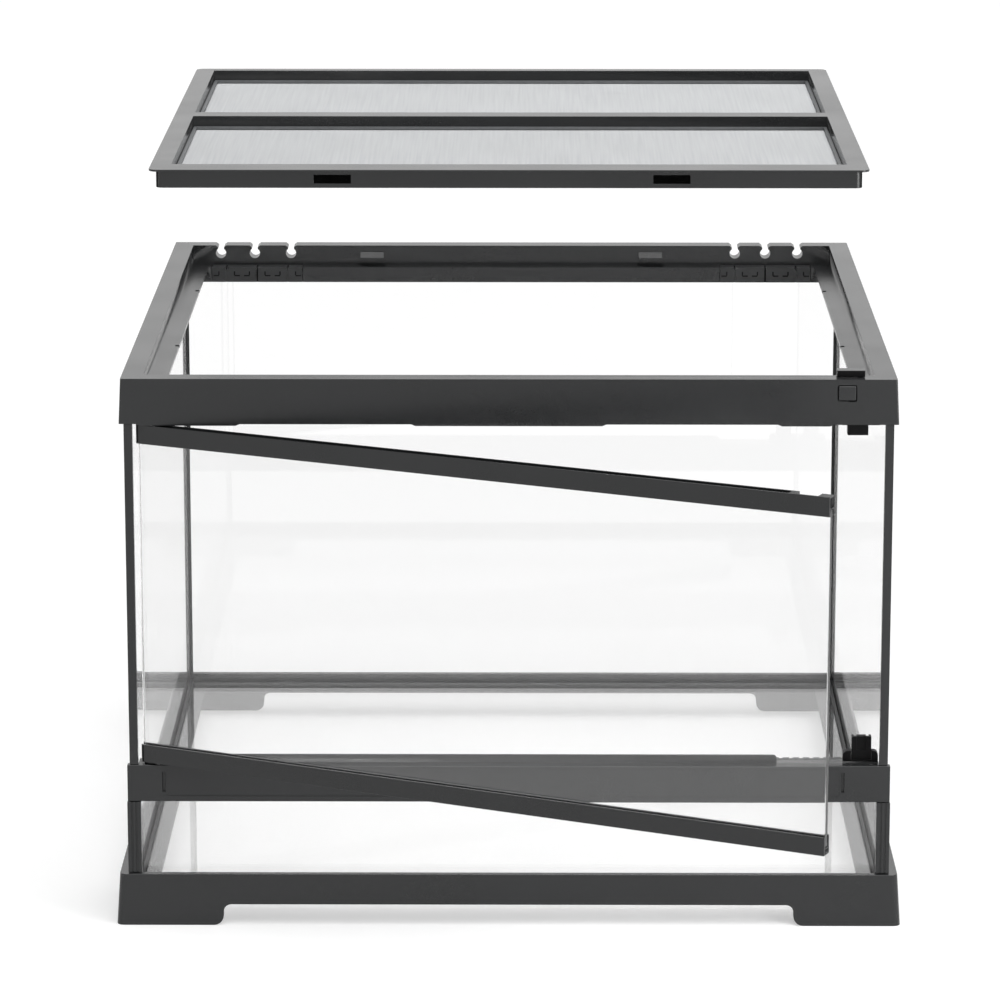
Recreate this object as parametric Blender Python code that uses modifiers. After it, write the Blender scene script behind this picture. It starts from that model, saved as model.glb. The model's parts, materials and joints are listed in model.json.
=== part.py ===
"""A glass terrarium: base, glass tank, top frame, swinging front door and lift-off screen lid.

Sizes are in metres. +Z is up, the door faces -Y, and the feet stand on Z = 0. The pieces are
placed about the middle of the tank, and one empty moves the tank back so that the origin lies
under the middle of the whole object, whose door stands ajar and whose lid is lifted off.
"""
from math import cos, pi, radians, sin, sqrt

import bmesh
import bpy
from mathutils import Matrix, Vector

# Clearances
GAP = 0.0003                 # between two pieces that touch
PIN_CLEARANCE = 0.0003       # round a hinge pin, on the radius
OVERSHOOT = 0.001            # how far a cutter runs past the surface that it cuts

# Tank
WIDTH = 0.450                # over the top frame's rim, left to right
DEPTH = 0.450                # over the top frame's rim, front to rear
HEIGHT = 0.330               # floor to the rim's top
GLASS_THICKNESS = 0.004
GLASS_INSET = 0.002          # from the rim's outside to the glass's outside
FLOOR_GLASS_THICKNESS = 0.005
FRONT_GLASS_SETBACK = 0.005  # from the rim's front to the fixed front pane

# Base frame
BASE_HEIGHT = 0.031
BASE_SIDE_OUTSET = 0.0054    # its top edge beyond the rim, left and right
BASE_END_OUTSET = 0.0028     # the same, front and rear
BASE_FLARE = 0.0020          # its feet beyond its top edge
BASE_CORNER_RADIUS = 0.004
BASE_WALL = 0.0028
SHELF_TOP = 0.0205           # the shelf that carries the glass
SHELF_THICKNESS = 0.003
SHELF_WIDTH = 0.0155
FOOT_LENGTH = 0.0615
ARCH_HEIGHT = 0.0126         # under the skirt, between the feet
ARCH_RADIUS = 0.0044
FOOT_RADIUS = 0.0058

# Top frame
FRAME_HEIGHT = 0.0265
FRAME_DRAFT = 0.0012         # its lower edge beyond its rim
FRAME_CORNER_RADIUS = 0.001
RIM_WIDTH = 0.0125
LEDGE_DROP = 0.013           # from the rim down to the ledge that carries the lid
LEDGE_WIDTH = 0.010
LEDGE_THICKNESS = 0.002
LIP_DROP = 0.010             # the lips that hang from the front and rear ledges
LIP_THICKNESS = 0.002
FRONT_MEMBER_DEPTH = 0.015   # the solid front side that holds the latch
GLASS_TOP_DROP = 0.0105      # from the rim down to the glass's top edge
DRIP_WIDTH = 0.113           # the deeper middle of the front skirt
DRIP_INSET = 0.069           # from the rim's sides to its two other deeper stretches
DRIP_LEFT_END = 0.009        # from the rim's sides to where those stretches end
DRIP_RIGHT_END = 0.0365
DRIP_DROP = 0.001
DRIP_SLOPE = 0.0024
DRIP_THICKNESS = 0.0013
LEDGE_NOTCH_LENGTH = 0.004
LEDGE_NOTCH_DEPTH = 0.002
LEDGE_NOTCH_Y = (0.118, -0.063)
SNAP_WIDTH = 0.0156          # the tabs in the rear wall that hold the lid's rear edge
SNAP_OFFSET = 0.093
SNAP_REACH = 0.004
SNAP_TOP_DROP = 0.0042
SNAP_SLOPE_DROP = 0.0034
SNAP_BOTTOM_DROP = 0.0090

# Cable inlets in the rear side
INLET_INSET = 0.0555         # from the rim's side to the inlet's middle
INLET_LENGTH = 0.060
INLET_SLIT = 0.001
INLET_SLIT_SPACING = 0.0204
INLET_HINGE = 0.0012         # the strip that each flap bends at
KEYHOLE_PLACES_LEFT = (-0.0246, -0.0020, 0.0222)     # from the inlet's middle
KEYHOLE_PLACES_RIGHT = (-0.0200, 0.0003, 0.0218)
KEYHOLE_RADIUS = 0.00345
KEYHOLE_NECK = 0.0040
KEYHOLE_MOUTH = 0.0072
KEYHOLE_CENTRE_DROP = 0.0052
KEYHOLE_FLARE_DROP = 0.0012

# Corner posts
UPPER_POST_WIDTH = 0.005
UPPER_POST_DEPTH = 0.0044
UPPER_POST_INSET = 0.0015
LOWER_POST_WIDTH = 0.0081
LOWER_POST_DEPTH = 0.0052
LOWER_POST_OUTSET = 0.0003
POST_GROOVE_WIDTH = 0.0009
POST_GROOVE_DEPTH = 0.0008
POST_GROOVE_SPACING = 0.0026

# Front bar under the door
BAR_TOP = 0.0974
BAR_HEIGHT = 0.0223
BAR_DEPTH = 0.015
BAR_GLASS_COVER = 0.013      # how much of the fixed front pane stands in the bar
PANEL_LEFT_INSET = 0.0231    # from the bar's ends to the sunk panel
PANEL_RIGHT_INSET = 0.0295
PANEL_TOP_DROP = 0.0017
PANEL_HEIGHT = 0.0173
PANEL_DEPTH = 0.0005
PANEL_CORNER = 0.0018
SIDE_SLOT_WIDTH = 0.0016
SIDE_SLOT_HEIGHT = 0.012
SIDE_SLOT_DEPTH = 0.002
SIDE_SLOT_GAP = 0.0008
STOP_LIP_LEFT_INSET = 0.020  # from the bar's ends to the lip behind the door
STOP_LIP_RIGHT_INSET = 0.0661
STOP_LIP_HEIGHT = 0.0046
STOP_LIP_THICKNESS = 0.0016
STOP_LIP_RADIUS = 0.0020

# Vent strip behind the bar
VENT_DEPTH = 0.0048
VENT_PLATE = 0.0015
VENT_HEIGHT = 0.0134
VENT_END_INSET = 0.012
VENT_PITCH = 0.006
VENT_SLOT = 0.002
VENT_SLOT_DEPTH = 0.0018

# Door
DOOR_INSET = 0.0085          # from the tank's side to either end of the door
DOOR_SETBACK = 0.0005        # from the rim's front to the closed door's front
DOOR_REST_ANGLE = 25.0       # degrees open, as it stands
RAIL_DEPTH = 0.0076
RAIL_END_RADIUS = 0.003
RAIL_WALL = 0.0012
TOP_RAIL_HEIGHT = 0.011
TOP_RAIL_GAP = 0.0013        # under the top frame
TOP_RAIL_GROOVE = 0.0038     # how deep the glass stands in it
BOTTOM_RAIL_HEIGHT = 0.0106
BOTTOM_RAIL_GAP = 0.0013     # above the bar
BOTTOM_RAIL_GROOVE = 0.0065
DOOR_GLASS_INSET = 0.0015    # at the hinge end
PIVOT_INSET = 0.005          # from the door's hinge end to its axis
PIN_RADIUS = 0.0015
PIN_GRIP = 0.0075            # in the frame or the bar
TOP_PIN_REACH = 0.005        # in the top rail
BOTTOM_PIN_REACH = 0.0029    # in the bottom rail
PIN_COLLAR_RADIUS = 0.0034
PIN_COLLAR_HEIGHT = 0.0007
CHAMBER_START = 0.011        # from the hinge end to the top rail's hollow
CHAMBER_END = 0.0015
CHANNEL_BRIDGE = 0.004       # the top wall left between the channel and the notch

# Door latch
LATCH_INSET = 0.0224         # from the rim's right side to its middle
LATCH_WIDTH = 0.012
LATCH_HANG = 0.0069          # below the top frame
LATCH_RISE = 0.0085          # inside the top frame
LATCH_FRONT = 0.0021         # behind the rim's front
LATCH_BACK = 0.0095
LATCH_SKIN = 0.0011          # its front wall
LATCH_FLOOR = 0.0009
LATCH_FLANGE = 0.0007        # the thin flange under the top frame
LATCH_FLANGE_LEFT = 0.0032   # how far it reaches beside the housing
LATCH_FLANGE_RIGHT = 0.0068
NOTCH_WIDTH = 0.0132         # in the top rail, round the latch
BOLT_HEIGHT = 0.0029
BOLT_THICKNESS = 0.0026
BOLT_TRAVEL = 0.0036
BOLT_LEFT_WALL = 0.0012
STEM_WIDTH = 0.003
STEM_INSET = 0.0025          # from the latch's left side
BUTTON_INSET = 0.02905       # from the rim's right side to its middle
BUTTON_WIDTH = 0.0105
BUTTON_HEIGHT = 0.0088
BUTTON_DROP = 0.0082         # from the rim's top to the button's middle
BUTTON_MARGIN = 0.0005       # round the button
BUTTON_THICKNESS = 0.0035
BUTTON_SHANK = 0.005
BUTTON_SHANK_LENGTH = 0.0035
BUTTON_CORNER = 0.0008
BUTTON_POCKET_DEPTH = 0.0111
BUTTON_POCKET_CORNER = 0.0013
SPRING_RADIUS = 0.0020
SPRING_WIRE = 0.00025        # the wire's radius
SPRING_TURNS = 4

# Lid lock on the rim
LOCK_INSET = 0.0348          # from the rim's right side to its left end
LOCK_LENGTH = 0.0163
LOCK_FRONT = 0.0062          # behind the rim's front
LOCK_WIDTH = 0.0078
LOCK_HEIGHT = 0.0037
LOCK_PIVOT_INSET = 0.0027    # from its right end
LOCK_PIN_LENGTH = 0.0078

# Lower catch on the bar
CATCH_INSET = 0.0166         # from the rim's right side to its middle
CATCH_WIDTH = 0.0116
CATCH_HEIGHT = 0.0140
CATCH_DEPTH = 0.0056
CATCH_RECESS_WIDTH = 0.0056
CATCH_RECESS_HEIGHT = 0.0080
CATCH_RECESS_DEPTH = 0.0012
CATCH_NOTCH = 0.0016
BRACKET_LEFT_INSET = 0.0275  # from the rim's right side to the bracket's ends
BRACKET_RIGHT_INSET = 0.0067
BRACKET_HEIGHT = 0.0064
BRACKET_FLOOR = 0.0009
BRACKET_SHOULDER = 0.0026

# Lid
LID_INSET = 0.017            # from the rim's outside to the lid's
LID_HEIGHT = 0.0112
LID_FLANGE = 0.0012
LID_OVERHANG = 0.004         # flange beyond the skirt
LID_WALL = 0.0016
LID_CORNER_RADIUS = 0.005
LID_FRONT_RIM = 0.0210
LID_REAR_RIM = 0.009
LID_SIDE_RIM = 0.012
LID_BAR_FRONT = -0.0015      # the cross-bar's front edge, from the tank's middle
LID_BAR_WIDTH = 0.0163
LID_MESH_DROP = 0.0092       # from the lid's top to the shelf under the mesh
LID_SHELF = 0.0025
LID_SLOT_WIDTH = 0.0215
LID_SLOT_HEIGHT = 0.0051
LID_SLOT_DROP = 0.0035
LID_SLOT_LEFT_INSET = 0.106  # from the lid's sides to the slots' middles
LID_SLOT_RIGHT_INSET = 0.114
LID_LIFT = 0.121             # how far the lid hangs above its seat

# Lid screens
SCREEN_THICKNESS = 0.0006
SCREEN_STRAND = 0.002
SCREEN_COLUMNS = 13
SCREEN_ROWS = 6
BEAD_WIDTH = 0.0018
BEAD_HEIGHT = 0.0016

# Levels and planes that follow from the sizes above
FRONT = -DEPTH / 2
REAR = DEPTH / 2
SIDE = WIDTH / 2
FRAME_BOTTOM = HEIGHT - FRAME_HEIGHT
LEDGE_TOP = HEIGHT - LEDGE_DROP
LEDGE_UNDERSIDE = LEDGE_TOP - LEDGE_THICKNESS
LIP_BOTTOM = LEDGE_TOP - LIP_DROP
LEDGE_INNER = RIM_WIDTH + LEDGE_WIDTH
INLET_MIDDLE = SIDE - INLET_INSET
GLASS_OUTER = GLASS_INSET
GLASS_INNER = GLASS_INSET + GLASS_THICKNESS
GLASS_BOTTOM = SHELF_TOP + GAP
GLASS_TOP = HEIGHT - GLASS_TOP_DROP
FLOOR_TOP = GLASS_BOTTOM + FLOOR_GLASS_THICKNESS
FRONT_PANE_FRONT = FRONT + FRONT_GLASS_SETBACK
FRONT_PANE_BACK = FRONT_PANE_FRONT + GLASS_THICKNESS
PANE_HALF_WIDTH = SIDE - GLASS_INNER - GAP
BAR_BOTTOM = BAR_TOP - BAR_HEIGHT
BAR_BACK = FRONT + BAR_DEPTH
FRONT_PANE_TOP = BAR_BOTTOM + BAR_GLASS_COVER
PANEL_LEFT = PANEL_LEFT_INSET - SIDE
PANEL_RIGHT = SIDE - PANEL_RIGHT_INSET
STOP_LIP_LEFT = STOP_LIP_LEFT_INSET - SIDE
STOP_LIP_RIGHT = SIDE - STOP_LIP_RIGHT_INSET
PIVOT_X = -SIDE + DOOR_INSET + PIVOT_INSET
PIVOT_Y = FRONT + DOOR_SETBACK + RAIL_DEPTH / 2
DOOR_LENGTH = WIDTH - 2 * DOOR_INSET
DOOR_REACH = DOOR_LENGTH - PIVOT_INSET
DOOR_BACK = FRONT + DOOR_SETBACK + RAIL_DEPTH
TOP_RAIL_TOP = FRAME_BOTTOM - TOP_RAIL_GAP
TOP_RAIL_BOTTOM = TOP_RAIL_TOP - TOP_RAIL_HEIGHT
BOTTOM_RAIL_BOTTOM = BAR_TOP + BOTTOM_RAIL_GAP
BOTTOM_RAIL_TOP = BOTTOM_RAIL_BOTTOM + BOTTOM_RAIL_HEIGHT
DIVIDER_BOTTOM = TOP_RAIL_BOTTOM + TOP_RAIL_GROOVE
CHAMBER_BOTTOM = DIVIDER_BOTTOM + RAIL_WALL
CHAMBER_TOP = TOP_RAIL_TOP - RAIL_WALL
LATCH_X = SIDE - LATCH_INSET
LATCH_BOTTOM = FRAME_BOTTOM - LATCH_HANG
LATCH_TOP = FRAME_BOTTOM + LATCH_RISE
BOLT_BOTTOM = LATCH_BOTTOM + LATCH_FLOOR + GAP
BOLT_FRONT = FRONT + LATCH_FRONT + LATCH_SKIN + GAP
BUTTON_X = SIDE - BUTTON_INSET
BUTTON_Z = HEIGHT - BUTTON_DROP
BUTTON_FRONT = FRONT - FRAME_DRAFT * BUTTON_DROP / FRAME_HEIGHT
STEM_TOP = BUTTON_Z - BUTTON_HEIGHT / 2 - BUTTON_MARGIN - GAP
LOCK_LEFT = SIDE - LOCK_INSET
CATCH_X = SIDE - CATCH_INSET
BRACKET_LEFT = SIDE - BRACKET_LEFT_INSET
BRACKET_RIGHT = SIDE - BRACKET_RIGHT_INSET
LID_SIDE = SIDE - LID_INSET
LID_FRONT = FRONT + LID_INSET
LID_BACK = REAR - LID_INSET
LID_SEAT = LEDGE_TOP + GAP
LID_TOP = LID_SEAT + LID_HEIGHT
SWING = radians(DOOR_REST_ANGLE)
OPEN_REACH = -PIVOT_Y + DOOR_REACH * sin(SWING) + RAIL_DEPTH / 2 * cos(SWING)
BASE_REACH = REAR + BASE_END_OUTSET + BASE_FLARE
TANK_Y = (OPEN_REACH - BASE_REACH) / 2


def clear_scene():
    """Remove every object and the data that the objects leave behind."""
    for item in list(bpy.data.objects):
        bpy.data.objects.remove(item, do_unlink=True)
    for item in list(bpy.data.collections):
        bpy.data.collections.remove(item)


def new_collection(name):
    """Return a new collection linked to the scene."""
    collection = bpy.data.collections.new(name)
    bpy.context.scene.collection.children.link(collection)
    return collection


def new_material(name, colour, roughness, metallic=0.0, transmission=0.0):
    """Return a Principled material."""
    material = bpy.data.materials.new(name)
    material.use_nodes = True
    shader = material.node_tree.nodes["Principled BSDF"]
    shader.inputs["Base Color"].default_value = (*colour, 1.0)
    shader.inputs["Roughness"].default_value = roughness
    shader.inputs["Metallic"].default_value = metallic
    shader.inputs["Transmission Weight"].default_value = transmission
    return material


clear_scene()
PARTS = new_collection("glass_terrarium")
CUTTERS = new_collection("cutters")

CHARCOAL = (0.045, 0.045, 0.047)
BLACK = (0.010, 0.010, 0.011)
CLEAR_GLASS = (0.88, 0.93, 0.91)
STEEL = (0.55, 0.56, 0.57)
SILICONE = (0.030, 0.030, 0.032)


def new_empty(name, location, parent=None):
    """Return an empty that pieces hang from."""
    empty = bpy.data.objects.new(name, None)
    empty.empty_display_size = 0.02
    empty.location = location
    empty.parent = parent
    PARTS.objects.link(empty)
    return empty


ROOT = new_empty("terrarium", (0.0, TANK_Y, 0.0))


def as_cutter(item):
    """Hide a helper shape from renders and show it as wire."""
    item.hide_render = True
    item.display_type = "WIRE"


def add_object(name, mesh, location, parent, material):
    """Link a mesh as a part, or as a cutter if it has no material."""
    item = bpy.data.objects.new(name, mesh)
    item.location = location
    item.parent = parent
    if material is None:
        CUTTERS.objects.link(item)
        as_cutter(item)
    else:
        PARTS.objects.link(item)
        mesh.materials.append(material)
    return item


def upright_edges(bm, side=0):
    """Return the edges that run along Z, on one side in X or on both."""
    found = []
    for edge in bm.edges:
        low, high = edge.verts
        if low.co.z != high.co.z and side * low.co.x >= 0.0:
            found.append(edge)
    return found


def box(name, x, y, z, material=None, parent=ROOT, corner=0.0, side=0, flare=0.0):
    """Make a block between two values on each axis.

    corner rounds its upright edges, only at the left end where side is -1, and flare moves
    its lower edges outwards.
    """
    centre = Vector(((x[0] + x[1]) / 2, (y[0] + y[1]) / 2, (z[0] + z[1]) / 2))
    size = Vector((x[1] - x[0], y[1] - y[0], z[1] - z[0]))
    mesh = bpy.data.meshes.new(name)
    bm = bmesh.new()
    bmesh.ops.create_cube(bm, size=1.0, matrix=Matrix.Diagonal(size.to_4d()))
    for vert in bm.verts:
        if vert.co.z < 0.0:
            vert.co.x += flare if vert.co.x > 0.0 else -flare
            vert.co.y += flare if vert.co.y > 0.0 else -flare
    if corner > 0.0:
        bmesh.ops.bevel(
            bm, geom=upright_edges(bm, side), offset=corner, segments=4, profile=0.5, affect="EDGES",
            clamp_overlap=True,
        )
    bm.to_mesh(mesh)
    bm.free()
    return add_object(name, mesh, centre, parent, material)


def cylinder(name, centre, radius, z, material=None, parent=ROOT, segments=24):
    """Make an upright cylinder between two heights."""
    mesh = bpy.data.meshes.new(name)
    bm = bmesh.new()
    bmesh.ops.create_cone(
        bm, cap_ends=True, segments=segments, radius1=radius, radius2=radius, depth=z[1] - z[0]
    )
    bm.to_mesh(mesh)
    bm.free()
    mesh.shade_smooth()
    mesh.set_sharp_from_angle(angle=radians(40.0))
    return add_object(name, mesh, (centre[0], centre[1], (z[0] + z[1]) / 2), parent, material)


def arc(centre, radius, start, end, steps=5):
    """Return points along an arc, with its angles in degrees."""
    points = []
    for step in range(steps + 1):
        angle = radians(start + (end - start) * step / steps)
        points.append((centre[0] + radius * cos(angle), centre[1] + radius * sin(angle)))
    return points


def rounded_outline(half_width, half_height, radius):
    """Return a rectangle with rounded corners about its middle."""
    across = half_width - radius
    up = half_height - radius
    points = arc((across, -up), radius, 270.0, 360.0, 4)
    points += arc((across, up), radius, 0.0, 90.0, 4)
    points += arc((-across, up), radius, 90.0, 180.0, 4)
    points += arc((-across, -up), radius, 180.0, 270.0, 4)
    return points


def curve_to_mesh(item, weld=0.00001):
    """Return a closed mesh of a curve object, and remove the curve."""
    bpy.context.view_layer.update()
    mesh = bpy.data.meshes.new_from_object(item.evaluated_get(bpy.context.evaluated_depsgraph_get()))
    bpy.data.objects.remove(item, do_unlink=True)
    bm = bmesh.new()
    bm.from_mesh(mesh)
    bmesh.ops.remove_doubles(bm, verts=bm.verts[:], dist=weld)
    bmesh.ops.recalc_face_normals(bm, faces=bm.faces[:])
    bm.to_mesh(mesh)
    bm.free()
    mesh.materials.clear()
    return mesh


def outline_solid(name, points, thickness, location, turn, material=None, parent=ROOT):
    """Extrude a flat outline by its thickness, half to each side of its plane.

    The outline's own axes are X to the right and Y up before the turn, an XYZ Euler.
    """
    curve = bpy.data.curves.new(name, "CURVE")
    curve.dimensions = "2D"
    curve.fill_mode = "BOTH"
    curve.extrude = thickness / 2
    spline = curve.splines.new("POLY")
    spline.points.add(len(points) - 1)
    for point, (across, up) in zip(spline.points, points):
        point.co = (across, up, 0.0, 1.0)
    spline.use_cyclic_u = True
    guide = bpy.data.objects.new(name + "_outline", curve)
    CUTTERS.objects.link(guide)
    item = add_object(name, curve_to_mesh(guide), location, parent, material)
    item.rotation_euler = turn
    return item


FACING_FRONT = (pi / 2, 0.0, 0.0)
FACING_SIDE = (pi / 2, 0.0, pi / 2)


def combine(target, operation, others):
    """Add one Boolean for each helper shape."""
    for other in others:
        as_cutter(other)
        modifier = target.modifiers.new(other.name, "BOOLEAN")
        modifier.operation = operation
        modifier.object = other


def cut(target, *others):
    """Cut helper shapes out of a piece."""
    combine(target, "DIFFERENCE", others)


def fuse(target, *others):
    """Make helper shapes one solid with a piece."""
    combine(target, "UNION", others)


def build_base_frame(material):
    """Make the base: a flared skirt on four feet, with a shelf that carries the glass."""
    half_x = SIDE + BASE_SIDE_OUTSET
    half_y = REAR + BASE_END_OUTSET
    base = box(
        "base_frame", (-half_x, half_x), (-half_y, half_y), (0.0, BASE_HEIGHT), material,
        corner=BASE_CORNER_RADIUS, flare=BASE_FLARE,
    )
    hollow_x = half_x - BASE_WALL
    hollow_y = half_y - BASE_WALL
    hollow = box(
        "base_hollow", (-hollow_x, hollow_x), (-hollow_y, hollow_y),
        (-OVERSHOOT, SHELF_TOP - SHELF_THICKNESS),
    )
    seat_x = SIDE - GLASS_OUTER + GAP
    seat_y = REAR - GLASS_OUTER + GAP
    seat = box("base_seat", (-seat_x, seat_x), (-seat_y, seat_y), (SHELF_TOP, BASE_HEIGHT + OVERSHOOT))
    open_x = seat_x - SHELF_WIDTH
    open_y = seat_y - SHELF_WIDTH
    window = box("base_window", (-open_x, open_x), (-open_y, open_y), (-OVERSHOOT, BASE_HEIGHT))
    arch_x = half_x - FOOT_LENGTH
    arch_y = half_y - FOOT_LENGTH
    length_x = WIDTH + 4 * FOOT_LENGTH
    length_y = DEPTH + 4 * FOOT_LENGTH
    front_arch = outline_solid("base_arch_front", arch_outline(arch_x), length_y, (0, 0, 0), FACING_FRONT)
    side_arch = outline_solid("base_arch_side", arch_outline(arch_y), length_x, (0, 0, 0), FACING_SIDE)
    cut(base, hollow, seat, window, front_arch, side_arch)


def arch_outline(half):
    """Return the arch between two feet, whose inner edges lie this far from the middle."""
    right = [(half + FOOT_RADIUS, -OVERSHOOT)]
    right += arc((half + FOOT_RADIUS, FOOT_RADIUS), FOOT_RADIUS, 270.0, 180.0)
    right += arc((half - ARCH_RADIUS, ARCH_HEIGHT - ARCH_RADIUS), ARCH_RADIUS, 0.0, 90.0)
    left = [(-across, up) for across, up in reversed(right)]
    return right + left


def build_panes(material):
    """Make the side, rear, floor and fixed front panes."""
    side_back = REAR - GLASS_INNER - GAP
    for name, sign in (("left_glass", -1), ("right_glass", 1)):
        inner = sign * (SIDE - GLASS_INNER)
        outer = sign * (SIDE - GLASS_OUTER)
        box(
            name, sorted((inner, outer)), (FRONT_PANE_FRONT, side_back), (GLASS_BOTTOM, GLASS_TOP), material
        )
    box(
        "rear_glass", (-PANE_HALF_WIDTH, PANE_HALF_WIDTH), (REAR - GLASS_INNER, REAR - GLASS_OUTER),
        (GLASS_BOTTOM, GLASS_TOP), material,
    )
    box(
        "lower_front_glass", (-PANE_HALF_WIDTH, PANE_HALF_WIDTH), (FRONT_PANE_FRONT, FRONT_PANE_BACK),
        (GLASS_BOTTOM, FRONT_PANE_TOP), material,
    )
    box(
        "floor_glass", (-PANE_HALF_WIDTH, PANE_HALF_WIDTH), (FRONT_PANE_BACK + GAP, side_back),
        (GLASS_BOTTOM, FLOOR_TOP), material,
    )


def build_floor_seal(material):
    """Make the silicone bead round the floor pane."""
    half = PANE_HALF_WIDTH - GAP
    front = FRONT_PANE_BACK + 2 * GAP
    back = REAR - GLASS_INNER - 2 * GAP
    low = FLOOR_TOP + GAP
    seal = box("floor_seal", (-half, half), (front, back), (low, low + BEAD_HEIGHT), material)
    inner = box(
        "floor_seal_inner", (BEAD_WIDTH - half, half - BEAD_WIDTH), (front + BEAD_WIDTH, back - BEAD_WIDTH),
        (low - OVERSHOOT, low + BEAD_HEIGHT + OVERSHOOT),
    )
    cut(seal, inner)


def build_posts(material, seal_material):
    """Make the posts that cover the glass edges at the four corners."""
    for name, sign in (("left", -1), ("right", 1)):
        outer = SIDE - UPPER_POST_INSET
        x = sorted((sign * outer, sign * (outer - UPPER_POST_WIDTH)))
        back = FRONT_PANE_FRONT - GAP
        box(name + "_post", x, (back - UPPER_POST_DEPTH, back), (BAR_TOP + GAP, FRAME_BOTTOM - GAP), material)

        outer = SIDE + LOWER_POST_OUTSET
        x = sorted((sign * outer, sign * (outer - LOWER_POST_WIDTH)))
        front = back - LOWER_POST_DEPTH
        post = box(
            "lower_" + name + "_post", x, (front, back), (BASE_HEIGHT + GAP, BAR_BOTTOM - GAP), material
        )
        for side in (-1, 1):
            middle = (x[0] + x[1]) / 2 + side * POST_GROOVE_SPACING / 2
            groove = box(
                name + "_post_groove_" + str(side),
                (middle - POST_GROOVE_WIDTH / 2, middle + POST_GROOVE_WIDTH / 2),
                (front - OVERSHOOT, front + POST_GROOVE_DEPTH),
                (BASE_HEIGHT - OVERSHOOT, BAR_BOTTOM + OVERSHOOT),
            )
            cut(post, groove)

        inner = SIDE - GLASS_INNER
        x = sorted((sign * inner, sign * (SIDE - GLASS_OUTER)))
        box("rear_" + name + "_post", x, (REAR - GLASS_INNER, REAR - GLASS_OUTER),
            (GLASS_BOTTOM, GLASS_TOP), seal_material)


def keyhole_outline():
    """Return a keyhole that opens at the rim's top, round its circle's middle."""
    half_neck = KEYHOLE_NECK / 2
    half_mouth = KEYHOLE_MOUTH / 2
    meet = sqrt(KEYHOLE_RADIUS ** 2 - half_neck ** 2)
    start = 90.0 - 180.0 / pi * (half_neck / KEYHOLE_RADIUS)
    points = [(-half_neck, KEYHOLE_CENTRE_DROP - KEYHOLE_FLARE_DROP), (-half_neck, meet)]
    points += arc((0.0, 0.0), KEYHOLE_RADIUS, 180.0 - start, 360.0 + start, 14)[1:-1]
    points += [(half_neck, meet), (half_neck, KEYHOLE_CENTRE_DROP - KEYHOLE_FLARE_DROP)]
    top = KEYHOLE_CENTRE_DROP + OVERSHOOT
    points += [(half_mouth, KEYHOLE_CENTRE_DROP), (half_mouth, top), (-half_mouth, top)]
    points += [(-half_mouth, KEYHOLE_CENTRE_DROP)]
    return points


def cut_frame_hollows(frame):
    """Cut the lid's recess, the opening and the moulded hollows of the top frame."""
    top = HEIGHT + OVERSHOOT
    below = FRAME_BOTTOM - OVERSHOOT
    recess_x = SIDE - RIM_WIDTH
    recess_y = REAR - RIM_WIDTH
    recess = box("frame_recess", (-recess_x, recess_x), (-recess_y, recess_y), (LEDGE_TOP, top))
    open_x = SIDE - LEDGE_INNER
    open_y = REAR - LEDGE_INNER
    opening = box("frame_opening", (-open_x, open_x), (-open_y, open_y), (below, top))

    lip_y = open_y + LIP_THICKNESS
    groove_out_x = SIDE - GLASS_OUTER + GAP
    groove_in_x = SIDE - GLASS_INNER - GAP
    groove_out_y = REAR - GLASS_OUTER + GAP
    groove_in_y = REAR - GLASS_INNER - GAP
    front_y = FRONT + FRONT_MEMBER_DEPTH
    cavities = []
    grooves = []
    for name, sign in (("left", -1), ("right", 1)):
        x = sorted((sign * (open_x - OVERSHOOT), sign * (groove_in_x + GAP)))
        cavities.append(box("frame_cavity_" + name, x, (-open_y, open_y), (below, LEDGE_UNDERSIDE)))
        x = sorted((sign * groove_in_x, sign * groove_out_x))
        grooves.append(
            box("frame_groove_" + name, x, (FRONT_PANE_FRONT - GAP, groove_out_y), (below, GLASS_TOP + GAP))
        )
    rear_cavity = box(
        "frame_cavity_rear", (-groove_in_x, groove_in_x), (lip_y, groove_in_y + GAP), (below, LEDGE_UNDERSIDE)
    )
    rear_groove = box(
        "frame_groove_rear", (-groove_out_x, groove_out_x), (groove_in_y, groove_out_y),
        (below, GLASS_TOP + GAP),
    )
    front_cavity = box(
        "frame_cavity_front", (-groove_in_x, groove_in_x), (front_y, -lip_y), (below, LEDGE_UNDERSIDE)
    )
    trim_x = groove_in_x + GAP
    trim_y = lip_y + OVERSHOOT
    lip_trim = box("frame_lip_trim", (-trim_x, trim_x), (-trim_y, trim_y), (below - OVERSHOOT, LIP_BOTTOM))
    cut(frame, recess, opening, *cavities, *grooves, rear_cavity, rear_groove, front_cavity, lip_trim)

    for name, sign in (("left", -1), ("right", 1)):
        for count, middle in enumerate(LEDGE_NOTCH_Y):
            x = sorted((sign * (open_x - OVERSHOOT), sign * (open_x + LEDGE_NOTCH_DEPTH + GAP)))
            y = (middle - LEDGE_NOTCH_LENGTH / 2, middle + LEDGE_NOTCH_LENGTH / 2)
            z = (LIP_BOTTOM - OVERSHOOT, LEDGE_TOP + OVERSHOOT)
            cut(frame, box("ledge_notch_" + name + str(count), x, y, z))


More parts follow.
